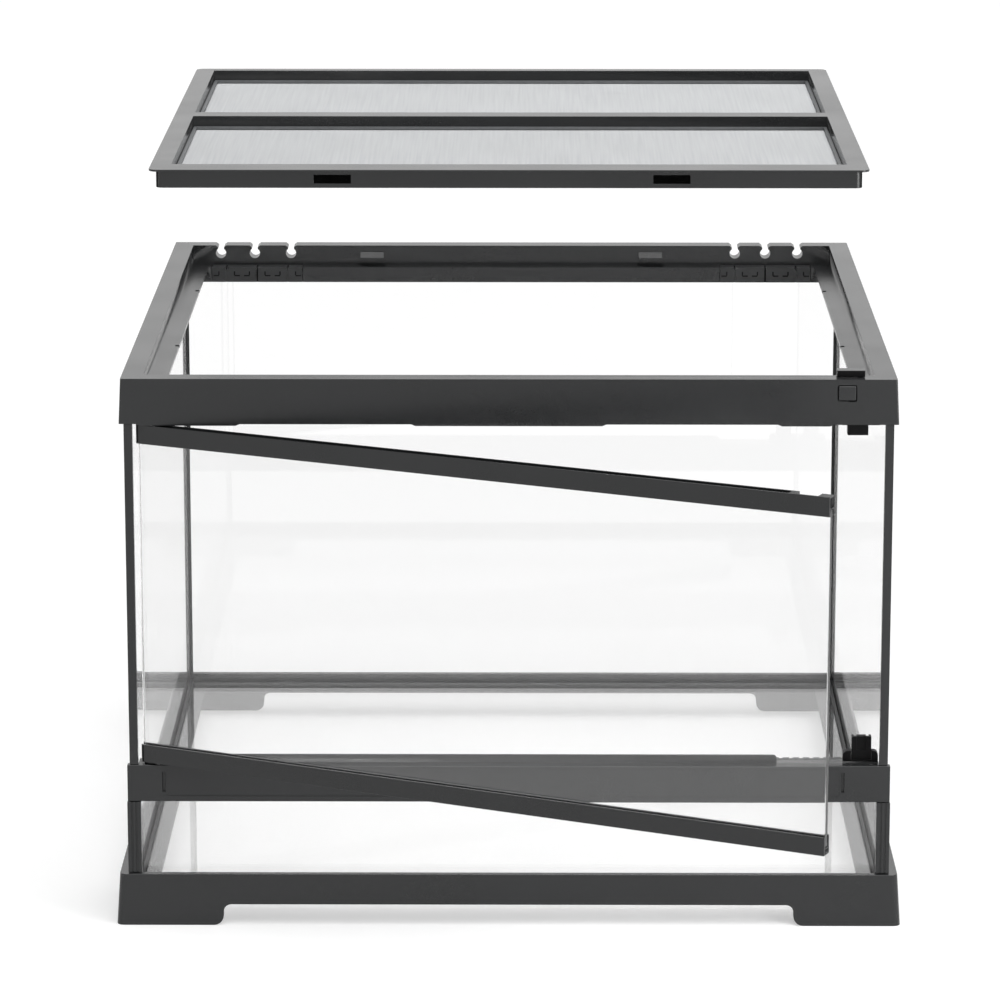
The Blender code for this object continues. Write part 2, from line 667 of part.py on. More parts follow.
def cut_frame_latch(frame):
    """Cut the pockets for the latch, the button, the hinge pin and the lid lock's pin."""
    half = LATCH_WIDTH / 2 + GAP
    housing = box(
        "latch_pocket", (LATCH_X - half, LATCH_X + half),
        (FRONT + LATCH_FRONT - GAP, FRONT + LATCH_BACK + GAP), (FRAME_BOTTOM - OVERSHOOT, LATCH_TOP + GAP),
    )
    stem_left = LATCH_X - LATCH_WIDTH / 2 + STEM_INSET
    stem = box(
        "stem_channel", (stem_left - GAP, stem_left + STEM_WIDTH + BOLT_TRAVEL + GAP),
        (BOLT_FRONT - GAP, BOLT_FRONT + BOLT_THICKNESS + GAP),
        (LATCH_TOP - OVERSHOOT, STEM_TOP + OVERSHOOT),
    )
    wide = BUTTON_WIDTH / 2 + BUTTON_MARGIN
    tall = BUTTON_HEIGHT / 2 + BUTTON_MARGIN
    button = outline_solid(
        "button_pocket", rounded_outline(wide, tall, BUTTON_POCKET_CORNER), BUTTON_POCKET_DEPTH + OVERSHOOT,
        (BUTTON_X, BUTTON_FRONT + (BUTTON_POCKET_DEPTH - OVERSHOOT) / 2, BUTTON_Z), FACING_FRONT,
    )
    pin_radius = PIN_RADIUS + PIN_CLEARANCE
    hinge = cylinder(
        "frame_pin_bore", (PIVOT_X, PIVOT_Y), pin_radius,
        (FRAME_BOTTOM - OVERSHOOT, FRAME_BOTTOM + PIN_GRIP + GAP),
    )
    lock = cylinder(
        "lock_pin_bore", lock_pivot(), pin_radius, (HEIGHT - LOCK_PIN_LENGTH - GAP, HEIGHT + OVERSHOOT)
    )
    cut(frame, housing, stem, button, hinge, lock)


def cut_frame_rear(frame):
    """Cut the keyholes, the seats of the cable inlets and the holes under the snap tabs."""
    keyhole_depth = RIM_WIDTH + FRAME_DRAFT + 4 * OVERSHOOT
    wall_middle = REAR - RIM_WIDTH / 2
    for name, sign, keyholes in (("left", -1, KEYHOLE_PLACES_LEFT), ("right", 1, KEYHOLE_PLACES_RIGHT)):
        middle = sign * INLET_MIDDLE
        for count, offset in enumerate(keyholes):
            place = (middle + offset, wall_middle, HEIGHT - KEYHOLE_CENTRE_DROP)
            hole = outline_solid(
                "keyhole_" + name + str(count), keyhole_outline(), keyhole_depth, place, FACING_FRONT
            )
            cut(frame, hole)
        half = INLET_LENGTH / 2 + GAP
        seat = box(
            "inlet_seat_" + name, (middle - half, middle + half),
            (REAR - LEDGE_INNER - OVERSHOOT, REAR - RIM_WIDTH - GAP),
            (LIP_BOTTOM - OVERSHOOT, LEDGE_TOP + OVERSHOOT),
        )
        half = SNAP_WIDTH / 2 + OVERSHOOT
        middle = sign * SNAP_OFFSET
        mould = box(
            "mould_hole_" + name, (middle - half, middle + half),
            (REAR - LEDGE_INNER + LIP_THICKNESS + OVERSHOOT, REAR - RIM_WIDTH - GAP),
            (LEDGE_UNDERSIDE - OVERSHOOT, LEDGE_TOP + OVERSHOOT),
        )
        cut(frame, seat, mould)


def add_frame_snaps(frame):
    """Join the snap tabs and the deeper stretches of the front skirt to the top frame."""
    wall = REAR - RIM_WIDTH
    outline = [
        (wall + GAP, HEIGHT - SNAP_TOP_DROP),
        (wall - SNAP_REACH / 4, HEIGHT - SNAP_TOP_DROP),
        (wall - SNAP_REACH, HEIGHT - SNAP_TOP_DROP - SNAP_SLOPE_DROP),
        (wall - SNAP_REACH, HEIGHT - SNAP_BOTTOM_DROP),
        (wall + GAP, HEIGHT - SNAP_BOTTOM_DROP),
    ]
    for name, sign in (("left", -1), ("right", 1)):
        place = (sign * SNAP_OFFSET, 0.0, 0.0)
        fuse(frame, outline_solid("snap_tab_" + name, outline, SNAP_WIDTH, place, FACING_SIDE))
    place = (0.0, FRONT - FRAME_DRAFT + DRIP_THICKNESS / 2, 0.0)
    stretches = (
        ("left", DRIP_LEFT_END - SIDE, DRIP_INSET - SIDE),
        ("middle", -DRIP_WIDTH / 2, DRIP_WIDTH / 2),
        ("right", SIDE - DRIP_INSET, SIDE - DRIP_RIGHT_END),
    )
    for name, left, right in stretches:
        outline = [
            (left, FRAME_BOTTOM + OVERSHOOT / 2), (left, FRAME_BOTTOM),
            (left + DRIP_SLOPE, FRAME_BOTTOM - DRIP_DROP), (right - DRIP_SLOPE, FRAME_BOTTOM - DRIP_DROP),
            (right, FRAME_BOTTOM), (right, FRAME_BOTTOM + OVERSHOOT / 2),
        ]
        fuse(frame, outline_solid("front_drip_" + name, outline, DRIP_THICKNESS, place, FACING_FRONT))


def build_top_frame(material):
    """Make the top frame, which holds the glass, the latch, the cable inlets and the lid."""
    frame = box(
        "top_frame", (-SIDE, SIDE), (FRONT, REAR), (FRAME_BOTTOM, HEIGHT), material,
        corner=FRAME_CORNER_RADIUS, flare=FRAME_DRAFT,
    )
    cut_frame_hollows(frame)
    cut_frame_latch(frame)
    cut_frame_rear(frame)
    add_frame_snaps(frame)


def build_cable_inlet(name, sign, material):
    """Make one row of soft flaps that closes round a cable, set in the rear ledge."""
    middle = sign * INLET_MIDDLE
    half = INLET_LENGTH / 2
    front = REAR - LEDGE_INNER
    back = REAR - RIM_WIDTH - 2 * GAP
    inlet = box(
        name, (middle - half, middle + half), (front, back), (LEDGE_UNDERSIDE, LEDGE_TOP), material
    )
    lip = box(
        name + "_lip", (middle - half, middle + half), (front, front + LIP_THICKNESS),
        (LIP_BOTTOM, LEDGE_TOP - LEDGE_THICKNESS / 2),
    )
    fuse(inlet, lip)
    for count in (-1, 0, 1):
        centre = middle + count * INLET_SLIT_SPACING
        slit = box(
            name + "_slit" + str(count), (centre - INLET_SLIT / 2, centre + INLET_SLIT / 2),
            (front - OVERSHOOT, back - INLET_HINGE), (LIP_BOTTOM - OVERSHOOT, LEDGE_TOP + OVERSHOOT),
        )
        cut(inlet, slit)


def build_front_bar(material):
    """Make the bar under the door, which caps the fixed front pane and stops the door."""
    bar = box("front_bar", (-SIDE, SIDE), (FRONT, BAR_BACK), (BAR_BOTTOM, BAR_TOP), material)
    glass_slot = box(
        "bar_glass_slot", (-SIDE - OVERSHOOT, SIDE + OVERSHOOT),
        (FRONT_PANE_FRONT - GAP, FRONT_PANE_BACK + GAP), (BAR_BOTTOM - OVERSHOOT, FRONT_PANE_TOP + GAP),
    )
    ends = []
    for name, sign in (("left", -1), ("right", 1)):
        x = sorted((sign * PANE_HALF_WIDTH, sign * (SIDE + OVERSHOOT)))
        y = (FRONT_PANE_FRONT - GAP, BAR_BACK + OVERSHOOT)
        ends.append(box("bar_end_" + name, x, y, (BAR_BOTTOM - OVERSHOOT, BAR_TOP + OVERSHOOT)))
    panel_top = BAR_TOP - PANEL_TOP_DROP
    panel = outline_solid(
        "bar_panel", rounded_outline((PANEL_RIGHT - PANEL_LEFT) / 2, PANEL_HEIGHT / 2, PANEL_CORNER),
        PANEL_DEPTH + OVERSHOOT,
        ((PANEL_LEFT + PANEL_RIGHT) / 2, FRONT + (PANEL_DEPTH - OVERSHOOT) / 2, panel_top - PANEL_HEIGHT / 2),
        FACING_FRONT,
    )
    slots = []
    slot_middle = panel_top - PANEL_HEIGHT / 2
    slot_reach = SIDE_SLOT_GAP + SIDE_SLOT_WIDTH
    for name, left in (("left", PANEL_LEFT - slot_reach), ("right", PANEL_RIGHT + SIDE_SLOT_GAP)):
        slots.append(
            box(
                "bar_side_slot_" + name, (left, left + SIDE_SLOT_WIDTH),
                (FRONT - OVERSHOOT, FRONT + SIDE_SLOT_DEPTH),
                (slot_middle - SIDE_SLOT_HEIGHT / 2, slot_middle + SIDE_SLOT_HEIGHT / 2),
            )
        )
    pin_bore = cylinder(
        "bar_pin_bore", (PIVOT_X, PIVOT_Y), PIN_RADIUS + PIN_CLEARANCE,
        (BAR_TOP - PIN_GRIP - GAP, BAR_TOP + OVERSHOOT),
    )
    cut(bar, glass_slot, *ends, panel, *slots, pin_bore)

    lip_bottom = BAR_TOP - OVERSHOOT
    lip_top = BAR_TOP + STOP_LIP_HEIGHT
    corner = (STOP_LIP_RIGHT - STOP_LIP_RADIUS, lip_top - STOP_LIP_RADIUS)
    outline = [(STOP_LIP_LEFT, lip_bottom), (STOP_LIP_RIGHT, lip_bottom)]
    outline += arc(corner, STOP_LIP_RADIUS, 0.0, 90.0)
    outline += [(STOP_LIP_LEFT, lip_top)]
    lip_middle = DOOR_BACK + GAP + STOP_LIP_THICKNESS / 2
    fuse(bar, outline_solid("stop_lip", outline, STOP_LIP_THICKNESS, (0, lip_middle, 0), FACING_FRONT))


def build_vent_strip(material):
    """Make the strip behind the bar, a plate with a comb of vent slots."""
    half = PANE_HALF_WIDTH - VENT_END_INSET
    front = BAR_BACK + GAP
    back = front + VENT_DEPTH
    strip = box("vent_strip", (-half, half), (front, back), (BAR_TOP - VENT_PLATE, BAR_TOP), material)
    comb = box(
        "vent_comb", (-half, half), (back - VENT_PLATE, back),
        (BAR_TOP - VENT_HEIGHT, BAR_TOP - VENT_PLATE / 2),
    )
    fuse(strip, comb)
    count = int((2 * half - VENT_PITCH) / VENT_PITCH)
    first = -VENT_PITCH * (count - 1) / 2
    slots = box(
        "vent_slots", (first - VENT_SLOT / 2, first + VENT_SLOT / 2),
        (back - VENT_SLOT_DEPTH, back + OVERSHOOT),
        (BAR_TOP - VENT_HEIGHT - OVERSHOOT, BAR_TOP + OVERSHOOT),
    )
    repeat = slots.modifiers.new("repeat", "ARRAY")
    repeat.count = count
    repeat.use_relative_offset = False
    repeat.use_constant_offset = True
    repeat.constant_offset_displace = (VENT_PITCH, 0.0, 0.0)
    cut(strip, slots)


def turned(name, profile, centre, material, parent=ROOT):
    """Turn a profile of (radius, height) points, top to bottom, round an upright axis."""
    mesh = bpy.data.meshes.new(name)
    mesh.from_pydata([(radius, 0.0, height) for radius, height in profile],
                     [(count, count + 1) for count in range(len(profile) - 1)], [])
    item = add_object(name, mesh, (centre[0], centre[1], 0.0), parent, material)
    screw = item.modifiers.new("turn", "SCREW")
    screw.steps = 24
    screw.render_steps = 24
    screw.use_merge_vertices = True
    screw.merge_threshold = 0.00001
    screw.use_smooth_shade = False
    return item


def build_hinge_pins(material):
    """Make the two pins that the door turns on."""
    low = TOP_RAIL_TOP - TOP_PIN_REACH
    high = FRAME_BOTTOM + PIN_GRIP
    collar = TOP_RAIL_TOP + GAP
    turned("top_hinge_pin", pin_profile(low, high, collar), (PIVOT_X, PIVOT_Y), material)
    low = BAR_TOP - PIN_GRIP
    high = BOTTOM_RAIL_BOTTOM + BOTTOM_PIN_REACH
    collar = BAR_TOP + GAP
    turned("bottom_hinge_pin", pin_profile(low, high, collar), (PIVOT_X, PIVOT_Y), material)


def pin_profile(low, high, collar):
    """Return a pin's outline from its top down, with a collar standing at a height."""
    collar_top = collar + PIN_COLLAR_HEIGHT
    return [
        (0.0, high), (PIN_RADIUS, high), (PIN_RADIUS, collar_top), (PIN_COLLAR_RADIUS, collar_top),
        (PIN_COLLAR_RADIUS, collar), (PIN_RADIUS, collar), (PIN_RADIUS, low), (0.0, low),
    ]


def build_door(glass, plastic):
    """Make the door's pane and rails about its hinge axis, and stand it ajar."""
    door = new_empty("door_hinge", (PIVOT_X, PIVOT_Y, 0.0), ROOT)
    door.rotation_euler = (0.0, 0.0, -SWING)
    half = RAIL_DEPTH / 2
    groove = GLASS_THICKNESS / 2 + GAP
    pin_radius = PIN_RADIUS + PIN_CLEARANCE

    pane_bottom = BOTTOM_RAIL_TOP - BOTTOM_RAIL_GROOVE + GAP
    box(
        "door_glass", (DOOR_GLASS_INSET - PIVOT_INSET, DOOR_REACH - GAP),
        (-GLASS_THICKNESS / 2, GLASS_THICKNESS / 2), (pane_bottom, DIVIDER_BOTTOM - GAP), glass, door,
    )

    bottom_rail = box(
        "door_bottom_rail", (-PIVOT_INSET, DOOR_REACH), (-half, half),
        (BOTTOM_RAIL_BOTTOM, BOTTOM_RAIL_TOP), plastic, door, corner=RAIL_END_RADIUS, side=-1,
    )
    bottom_groove = box(
        "bottom_rail_groove", (-PIVOT_INSET - OVERSHOOT, DOOR_REACH + OVERSHOOT), (-groove, groove),
        (BOTTOM_RAIL_TOP - BOTTOM_RAIL_GROOVE, BOTTOM_RAIL_TOP + OVERSHOOT), None, door,
    )
    bottom_bore = cylinder(
        "bottom_rail_bore", (0.0, 0.0), pin_radius,
        (BOTTOM_RAIL_BOTTOM - OVERSHOOT, BOTTOM_RAIL_BOTTOM + BOTTOM_PIN_REACH + GAP), None, door,
    )
    cut(bottom_rail, bottom_groove, bottom_bore)

    top_rail = box(
        "door_top_rail", (-PIVOT_INSET, DOOR_REACH), (-half, half), (TOP_RAIL_BOTTOM, TOP_RAIL_TOP),
        plastic, door, corner=RAIL_END_RADIUS, side=-1,
    )
    top_groove = box(
        "top_rail_groove", (-PIVOT_INSET - OVERSHOOT, DOOR_REACH + OVERSHOOT), (-groove, groove),
        (TOP_RAIL_BOTTOM - OVERSHOOT, DIVIDER_BOTTOM), None, door,
    )
    top_bore = cylinder(
        "top_rail_bore", (0.0, 0.0), pin_radius,
        (TOP_RAIL_TOP - TOP_PIN_REACH - GAP, TOP_RAIL_TOP + OVERSHOOT), None, door,
    )
    notch_middle = LATCH_X - PIVOT_X
    start = CHAMBER_START - PIVOT_INSET
    end = DOOR_REACH - CHAMBER_END
    channel_end = notch_middle - NOTCH_WIDTH / 2 - CHANNEL_BRIDGE
    outline = [
        (start, CHAMBER_BOTTOM), (end, CHAMBER_BOTTOM), (end, CHAMBER_TOP), (channel_end, CHAMBER_TOP),
        (channel_end, TOP_RAIL_TOP + OVERSHOOT), (start, TOP_RAIL_TOP + OVERSHOOT),
    ]
    chamber = outline_solid(
        "top_rail_chamber", outline, RAIL_DEPTH - 2 * RAIL_WALL, (0, 0, 0), FACING_FRONT, None, door
    )
    notch = box(
        "top_rail_notch", (notch_middle - NOTCH_WIDTH / 2, notch_middle + NOTCH_WIDTH / 2),
        (RAIL_WALL - half, half + OVERSHOOT), (CHAMBER_BOTTOM, TOP_RAIL_TOP + OVERSHOOT), None, door,
    )
    cut(top_rail, top_groove, top_bore, chamber, notch)


def build_latch(black, metal):
    """Make the door latch: its housing, push button, sliding bolt and return spring."""
    left = LATCH_X - LATCH_WIDTH / 2
    right = LATCH_X + LATCH_WIDTH / 2
    front = FRONT + LATCH_FRONT
    back = FRONT + LATCH_BACK
    bolt_back = BOLT_FRONT + BOLT_THICKNESS
    bolt_top = BOLT_BOTTOM + BOLT_HEIGHT
    housing = box("latch_housing", (left, right), (front, back), (LATCH_BOTTOM, LATCH_TOP), black)
    bolt_room = box(
        "bolt_room", (left + BOLT_LEFT_WALL, right + OVERSHOOT), (BOLT_FRONT - GAP, back + OVERSHOOT),
        (BOLT_BOTTOM - GAP, bolt_top + GAP),
    )
    stem_left = left + STEM_INSET
    stem_room = box(
        "stem_room", (stem_left - GAP, stem_left + STEM_WIDTH + BOLT_TRAVEL + GAP),
        (BOLT_FRONT - GAP, back + OVERSHOOT), (bolt_top, LATCH_TOP + OVERSHOOT),
    )
    flange = box(
        "latch_flange", (left - LATCH_FLANGE_LEFT, right + LATCH_FLANGE_RIGHT), (front + GAP, back - GAP),
        (FRAME_BOTTOM - GAP - LATCH_FLANGE, FRAME_BOTTOM - GAP),
    )
    fuse(housing, flange)
    cut(housing, bolt_room, stem_room)

    bolt = box(
        "latch_bolt", (left + BOLT_LEFT_WALL + GAP, right - GAP), (BOLT_FRONT, bolt_back),
        (BOLT_BOTTOM, bolt_top), black,
    )
    stem = box(
        "bolt_stem", (stem_left, stem_left + STEM_WIDTH), (BOLT_FRONT, bolt_back),
        (BOLT_BOTTOM + BOLT_HEIGHT / 2, STEM_TOP),
    )
    fuse(bolt, stem)

    wide = BUTTON_WIDTH / 2
    tall = BUTTON_HEIGHT / 2
    button = box(
        "latch_button", (BUTTON_X - wide, BUTTON_X + wide), (BUTTON_FRONT, BUTTON_FRONT + BUTTON_THICKNESS),
        (BUTTON_Z - tall, BUTTON_Z + tall), black,
    )
    soften = button.modifiers.new("soft_edges", "BEVEL")
    soften.width = BUTTON_CORNER
    soften.segments = 2
    shank_back = BUTTON_FRONT + BUTTON_THICKNESS + BUTTON_SHANK_LENGTH
    shank = box(
        "button_shank", (BUTTON_X - BUTTON_SHANK / 2, BUTTON_X + BUTTON_SHANK / 2),
        (BUTTON_FRONT + BUTTON_THICKNESS / 2, shank_back),
        (BUTTON_Z - BUTTON_SHANK / 2, BUTTON_Z + BUTTON_SHANK / 2),
    )
    fuse(button, shank)

    spring_front = shank_back + GAP + SPRING_WIRE
    spring_back = BUTTON_FRONT + BUTTON_POCKET_DEPTH - GAP - SPRING_WIRE
    build_spring("button_spring", spring_front, spring_back, metal)


def build_spring(name, front, back, material):
    """Wind the button's return spring between two planes."""
    steps = 9 * SPRING_TURNS
    curve = bpy.data.curves.new(name, "CURVE")
    curve.dimensions = "3D"
    curve.bevel_depth = SPRING_WIRE
    curve.bevel_resolution = 1
    curve.use_fill_caps = True
    spline = curve.splines.new("POLY")
    spline.points.add(steps)
    for step, point in enumerate(spline.points):
        angle = 2.0 * pi * SPRING_TURNS * step / steps
        along = front + (back - front) * step / steps
        point.co = (SPRING_RADIUS * cos(angle), along, SPRING_RADIUS * sin(angle), 1.0)
    guide = bpy.data.objects.new(name + "_guide", curve)
    CUTTERS.objects.link(guide)
    mesh = curve_to_mesh(guide, SPRING_WIRE / 100)
    add_object(name, mesh, (BUTTON_X, 0.0, BUTTON_Z), ROOT, material)


def lock_pivot():
    """Return where the lid lock's pin stands on the rim."""
    return (LOCK_LEFT + LOCK_LENGTH - LOCK_PIVOT_INSET, FRONT + LOCK_FRONT + LOCK_WIDTH / 2)


def build_lid_lock(material):
    """Make the turning lock on the rim, whose left end swings over the lid."""
    pivot = new_empty("lid_lock_pivot", (*lock_pivot(), 0.0), ROOT)
    right = LOCK_PIVOT_INSET
    left = right - LOCK_LENGTH
    low = HEIGHT + GAP
    high = low + LOCK_HEIGHT
    lock = box("lid_lock", (left, right), (-LOCK_WIDTH / 2, LOCK_WIDTH / 2), (low, high), material, pivot)
    pin = cylinder(
        "lock_pin", (0.0, 0.0), PIN_RADIUS, (HEIGHT - LOCK_PIN_LENGTH, low + LOCK_HEIGHT / 2), None, pivot
    )
    fuse(lock, pin)


def build_lower_catch(material):
    """Make the catch behind the door's lower right corner: a block held in a bracket."""
    front = DOOR_BACK + 2 * GAP
    back = front + CATCH_DEPTH
    low = BAR_TOP + GAP
    floor = low + BRACKET_FLOOR
    high = floor + GAP + CATCH_HEIGHT
    half = CATCH_WIDTH / 2
    block = box(
        "lower_catch_block", (CATCH_X - half, CATCH_X + half), (front, back), (floor + GAP, high), material
    )
    recess = box(
        "catch_recess", (CATCH_X - CATCH_RECESS_WIDTH / 2, CATCH_X + CATCH_RECESS_WIDTH / 2),
        (front - OVERSHOOT, front + CATCH_RECESS_DEPTH), (high - CATCH_RECESS_HEIGHT, high + OVERSHOOT),
    )
    cut(block, recess)
    for side in (-1, 1):
        middle = CATCH_X + side * (CATCH_RECESS_WIDTH + CATCH_NOTCH) / 2
        notch = box(
            "catch_notch" + str(side), (middle - CATCH_NOTCH / 2, middle + CATCH_NOTCH / 2),
            (front + CATCH_DEPTH / 2, back + OVERSHOOT), (high - CATCH_NOTCH, high + OVERSHOOT),
        )
        cut(block, notch)

    top = low + BRACKET_HEIGHT
    reach = BRACKET_SHOULDER
    outline = [(BRACKET_LEFT, low), (BRACKET_RIGHT, low)]
    outline += arc((BRACKET_RIGHT - reach, top - reach), reach, 0.0, 90.0, 4)
    outline += arc((BRACKET_LEFT + reach, top - reach), reach, 90.0, 180.0, 4)
    bracket = outline_solid(
        "lower_catch_bracket", outline, CATCH_DEPTH - GAP, (0.0, (front + back) / 2, 0.0), FACING_FRONT,
        material,
    )
    window = box(
        "bracket_window", (CATCH_X - half - GAP, CATCH_X + half + GAP), (front - OVERSHOOT, back + OVERSHOOT),
        (floor, top + OVERSHOOT),
    )
    cut(bracket, window)


def lid_wells():
    """Return each mesh panel's name and its front and rear edges in the lid."""
    return (
        ("front", LID_FRONT + LID_FRONT_RIM, LID_BAR_FRONT),
        ("rear", LID_BAR_FRONT + LID_BAR_WIDTH, LID_BACK - LID_REAR_RIM),
    )


def cut_lid_undersides(lid, parent):
    """Hollow the rims and the cross-bar of the lid from below."""
    low = LID_SEAT - OVERSHOOT
    high = LID_TOP - LID_WALL
    skirt_x = LID_SIDE - LID_OVERHANG
    skirt_front = LID_FRONT + LID_OVERHANG
    well_x = LID_SIDE - LID_SIDE_RIM
    (_, front_low, bar_front), (_, bar_back, rear_high) = lid_wells()
    inner_x = well_x + LID_WALL
    front_room = box(
        "lid_hollow_front", (-inner_x, inner_x), (skirt_front + LID_WALL, front_low - LID_WALL),
        (low, high), None, parent,
    )
    bar_room = box(
        "lid_hollow_bar", (-well_x, well_x), (bar_front + LID_WALL, bar_back - LID_WALL), (low, high),
        None, parent,
    )
    rooms = [front_room, bar_room]
    for name, sign in (("left", -1), ("right", 1)):
        x = sorted((sign * inner_x, sign * (skirt_x - LID_WALL)))
        y = (skirt_front + LID_WALL, rear_high)
        rooms.append(box("lid_hollow_" + name, x, y, (low, high), None, parent))
    cut(lid, *rooms)


def build_lid_frame(material, parent):
    """Make the lid's moulded frame, a skirted rim with a cross-bar and two mesh wells."""
    skirt_x = LID_SIDE - LID_OVERHANG
    skirt_y = (LID_FRONT + LID_OVERHANG, LID_BACK - LID_OVERHANG)
    lid = box(
        "lid_frame", (-LID_SIDE, LID_SIDE), (LID_FRONT, LID_BACK), (LID_TOP - LID_FLANGE, LID_TOP), material,
        parent, corner=LID_CORNER_RADIUS,
    )
    skirt = box(
        "lid_skirt", (-skirt_x, skirt_x), skirt_y,
        (LID_SEAT, LID_TOP - LID_FLANGE / 2), None, parent, corner=LID_CORNER_RADIUS - LID_FLANGE,
    )
    fuse(lid, skirt)
    well_x = LID_SIDE - LID_SIDE_RIM
    for name, low_y, high_y in lid_wells():
        well = box(
            "lid_well_" + name, (-well_x, well_x), (low_y, high_y),
            (LID_TOP - LID_MESH_DROP, LID_TOP + OVERSHOOT), None, parent,
        )
        window = box(
            "lid_window_" + name, (LID_SHELF - well_x, well_x - LID_SHELF),
            (low_y + LID_SHELF, high_y - LID_SHELF), (LID_SEAT - OVERSHOOT, LID_TOP), None, parent,
        )
        cut(lid, well, window)
    cut_lid_undersides(lid, parent)
    slot_top = LID_TOP - LID_SLOT_DROP
    slot_left = LID_SLOT_LEFT_INSET - LID_SIDE
    slot_right = LID_SIDE - LID_SLOT_RIGHT_INSET
    for end, wall in zip(("front", "rear"), skirt_y):
        for name, middle in (("left", slot_left), ("right", slot_right)):
            slot = box(
                "lid_slot_" + end + "_" + name, (middle - LID_SLOT_WIDTH / 2, middle + LID_SLOT_WIDTH / 2),
                (wall - 2 * LID_WALL, wall + 2 * LID_WALL), (slot_top - LID_SLOT_HEIGHT, slot_top),
                None, parent,
            )
            cut(lid, slot)


def build_screens(steel, glue, parent):
    """Make the two mesh panels as flat nets, and the beads that hold them in the lid."""
    half = LID_SIDE - LID_SIDE_RIM - GAP
    shelf = LID_TOP - LID_MESH_DROP
    for name, low_y, high_y in lid_wells():
        y = (low_y + GAP, high_y - GAP)
        low = shelf + GAP
        build_net(name + "_screen", (-half, half), y, low, steel, parent)
        low += SCREEN_THICKNESS + GAP
        bead = box(
            name + "_screen_bead", (-half, half), y, (low, low + BEAD_HEIGHT), glue, parent
        )
        inner = box(
            name + "_bead_inner", (BEAD_WIDTH - half, half - BEAD_WIDTH),
            (y[0] + BEAD_WIDTH, y[1] - BEAD_WIDTH), (low - OVERSHOOT, low + BEAD_HEIGHT + OVERSHOOT),
            None, parent,
        )
        cut(bead, inner)


def strand_edges(low, high, count):
    """Return where the strands of a net begin and end along one side."""
    pitch = (high - low - SCREEN_STRAND) / count
    edges = []
    for strand in range(count + 1):
        edges.append(low + strand * pitch)
        edges.append(low + strand * pitch + SCREEN_STRAND)
    return edges


def build_net(name, x, y, low, material, parent):
    """Make a flat net of square-cut strands, with its underside at a height."""
    across = strand_edges(x[0], x[1], SCREEN_COLUMNS)
    along = strand_edges(y[0], y[1], SCREEN_ROWS)
    points = []
    for y_edge in along:
        for x_edge in across:
            points.append((x_edge, y_edge, 0.0))
    faces = []
    for row in range(len(along) - 1):
        for column in range(len(across) - 1):
            in_gap = row % 2 == 1 and column % 2 == 1
            if not in_gap:
                corner = row * len(across) + column
                above = corner + len(across)
                faces.append((corner, corner + 1, above + 1, above))
    mesh = bpy.data.meshes.new(name)
    mesh.from_pydata(points, [], faces)
    net = add_object(name, mesh, (0.0, 0.0, low), parent, material)
    thicken = net.modifiers.new("thickness", "SOLIDIFY")
    thicken.thickness = SCREEN_THICKNESS
    thicken.offset = 1.0


def build_terrarium():
    """Make every piece."""
    plastic = new_material("charcoal_plastic", CHARCOAL, 0.42)
    black = new_material("black_plastic", BLACK, 0.35)
    glass = new_material("clear_glass", CLEAR_GLASS, 0.02, transmission=1.0)
    steel = new_material("stainless_steel", STEEL, 0.35, metallic=1.0)
    silicone = new_material("black_silicone", SILICONE, 0.55)
    rubber = new_material("soft_plastic", CHARCOAL, 0.60)

    build_base_frame(plastic)
    build_panes(glass)
    build_floor_seal(silicone)
    build_posts(plastic, silicone)
    build_top_frame(plastic)
    build_cable_inlet("left_cable_inlet", -1, rubber)
    build_cable_inlet("right_cable_inlet", 1, rubber)
    build_front_bar(plastic)
    build_vent_strip(plastic)
    build_hinge_pins(black)
    build_door(glass, plastic)
    build_latch(black, steel)
    build_lid_lock(black)
    build_lower_catch(black)
    lid = new_empty("lid", (0.0, 0.0, LID_LIFT), ROOT)
    build_lid_frame(plastic, lid)
    build_screens(steel, silicone, lid)
    bpy.context.view_layer.update()


build_terrarium()
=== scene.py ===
"""Looks of the glass terrarium: finishes, rounded moulded edges, the woven lid mesh, light and camera.

Lengths are in metres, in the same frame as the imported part: +Z up, the door on the -Y side.
"""
import json
from math import cos, pi, radians, sin

import bmesh
import bpy
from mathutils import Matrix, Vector

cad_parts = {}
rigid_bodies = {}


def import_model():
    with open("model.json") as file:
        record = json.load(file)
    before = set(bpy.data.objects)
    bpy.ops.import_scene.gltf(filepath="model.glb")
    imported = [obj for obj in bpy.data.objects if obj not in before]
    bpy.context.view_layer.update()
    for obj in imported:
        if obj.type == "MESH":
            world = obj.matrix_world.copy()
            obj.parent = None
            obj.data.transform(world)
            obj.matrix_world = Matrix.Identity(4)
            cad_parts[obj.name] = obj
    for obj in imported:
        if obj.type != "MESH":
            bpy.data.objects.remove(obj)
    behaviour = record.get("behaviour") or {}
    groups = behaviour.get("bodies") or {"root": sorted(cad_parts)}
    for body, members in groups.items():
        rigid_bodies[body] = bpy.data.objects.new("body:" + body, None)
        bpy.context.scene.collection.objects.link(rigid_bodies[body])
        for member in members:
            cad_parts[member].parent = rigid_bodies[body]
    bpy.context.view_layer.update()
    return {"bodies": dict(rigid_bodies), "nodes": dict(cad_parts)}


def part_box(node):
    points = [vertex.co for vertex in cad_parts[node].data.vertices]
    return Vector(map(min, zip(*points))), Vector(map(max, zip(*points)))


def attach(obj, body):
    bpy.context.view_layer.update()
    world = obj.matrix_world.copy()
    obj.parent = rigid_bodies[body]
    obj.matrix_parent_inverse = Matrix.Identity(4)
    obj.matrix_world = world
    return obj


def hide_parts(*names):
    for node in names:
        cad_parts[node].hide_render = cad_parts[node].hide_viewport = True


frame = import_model()

MM = 0.001

# The camera stands where the photograph was taken, square to the tank and looking a little down
CAMERA_PLACE = (0.0098, -2.8042, 0.8863)
CAMERA_PITCH = 13.251
CAMERA_YAW = 0.319
CAMERA_LENS = 169.56
SENSOR_WIDTH = 36.0

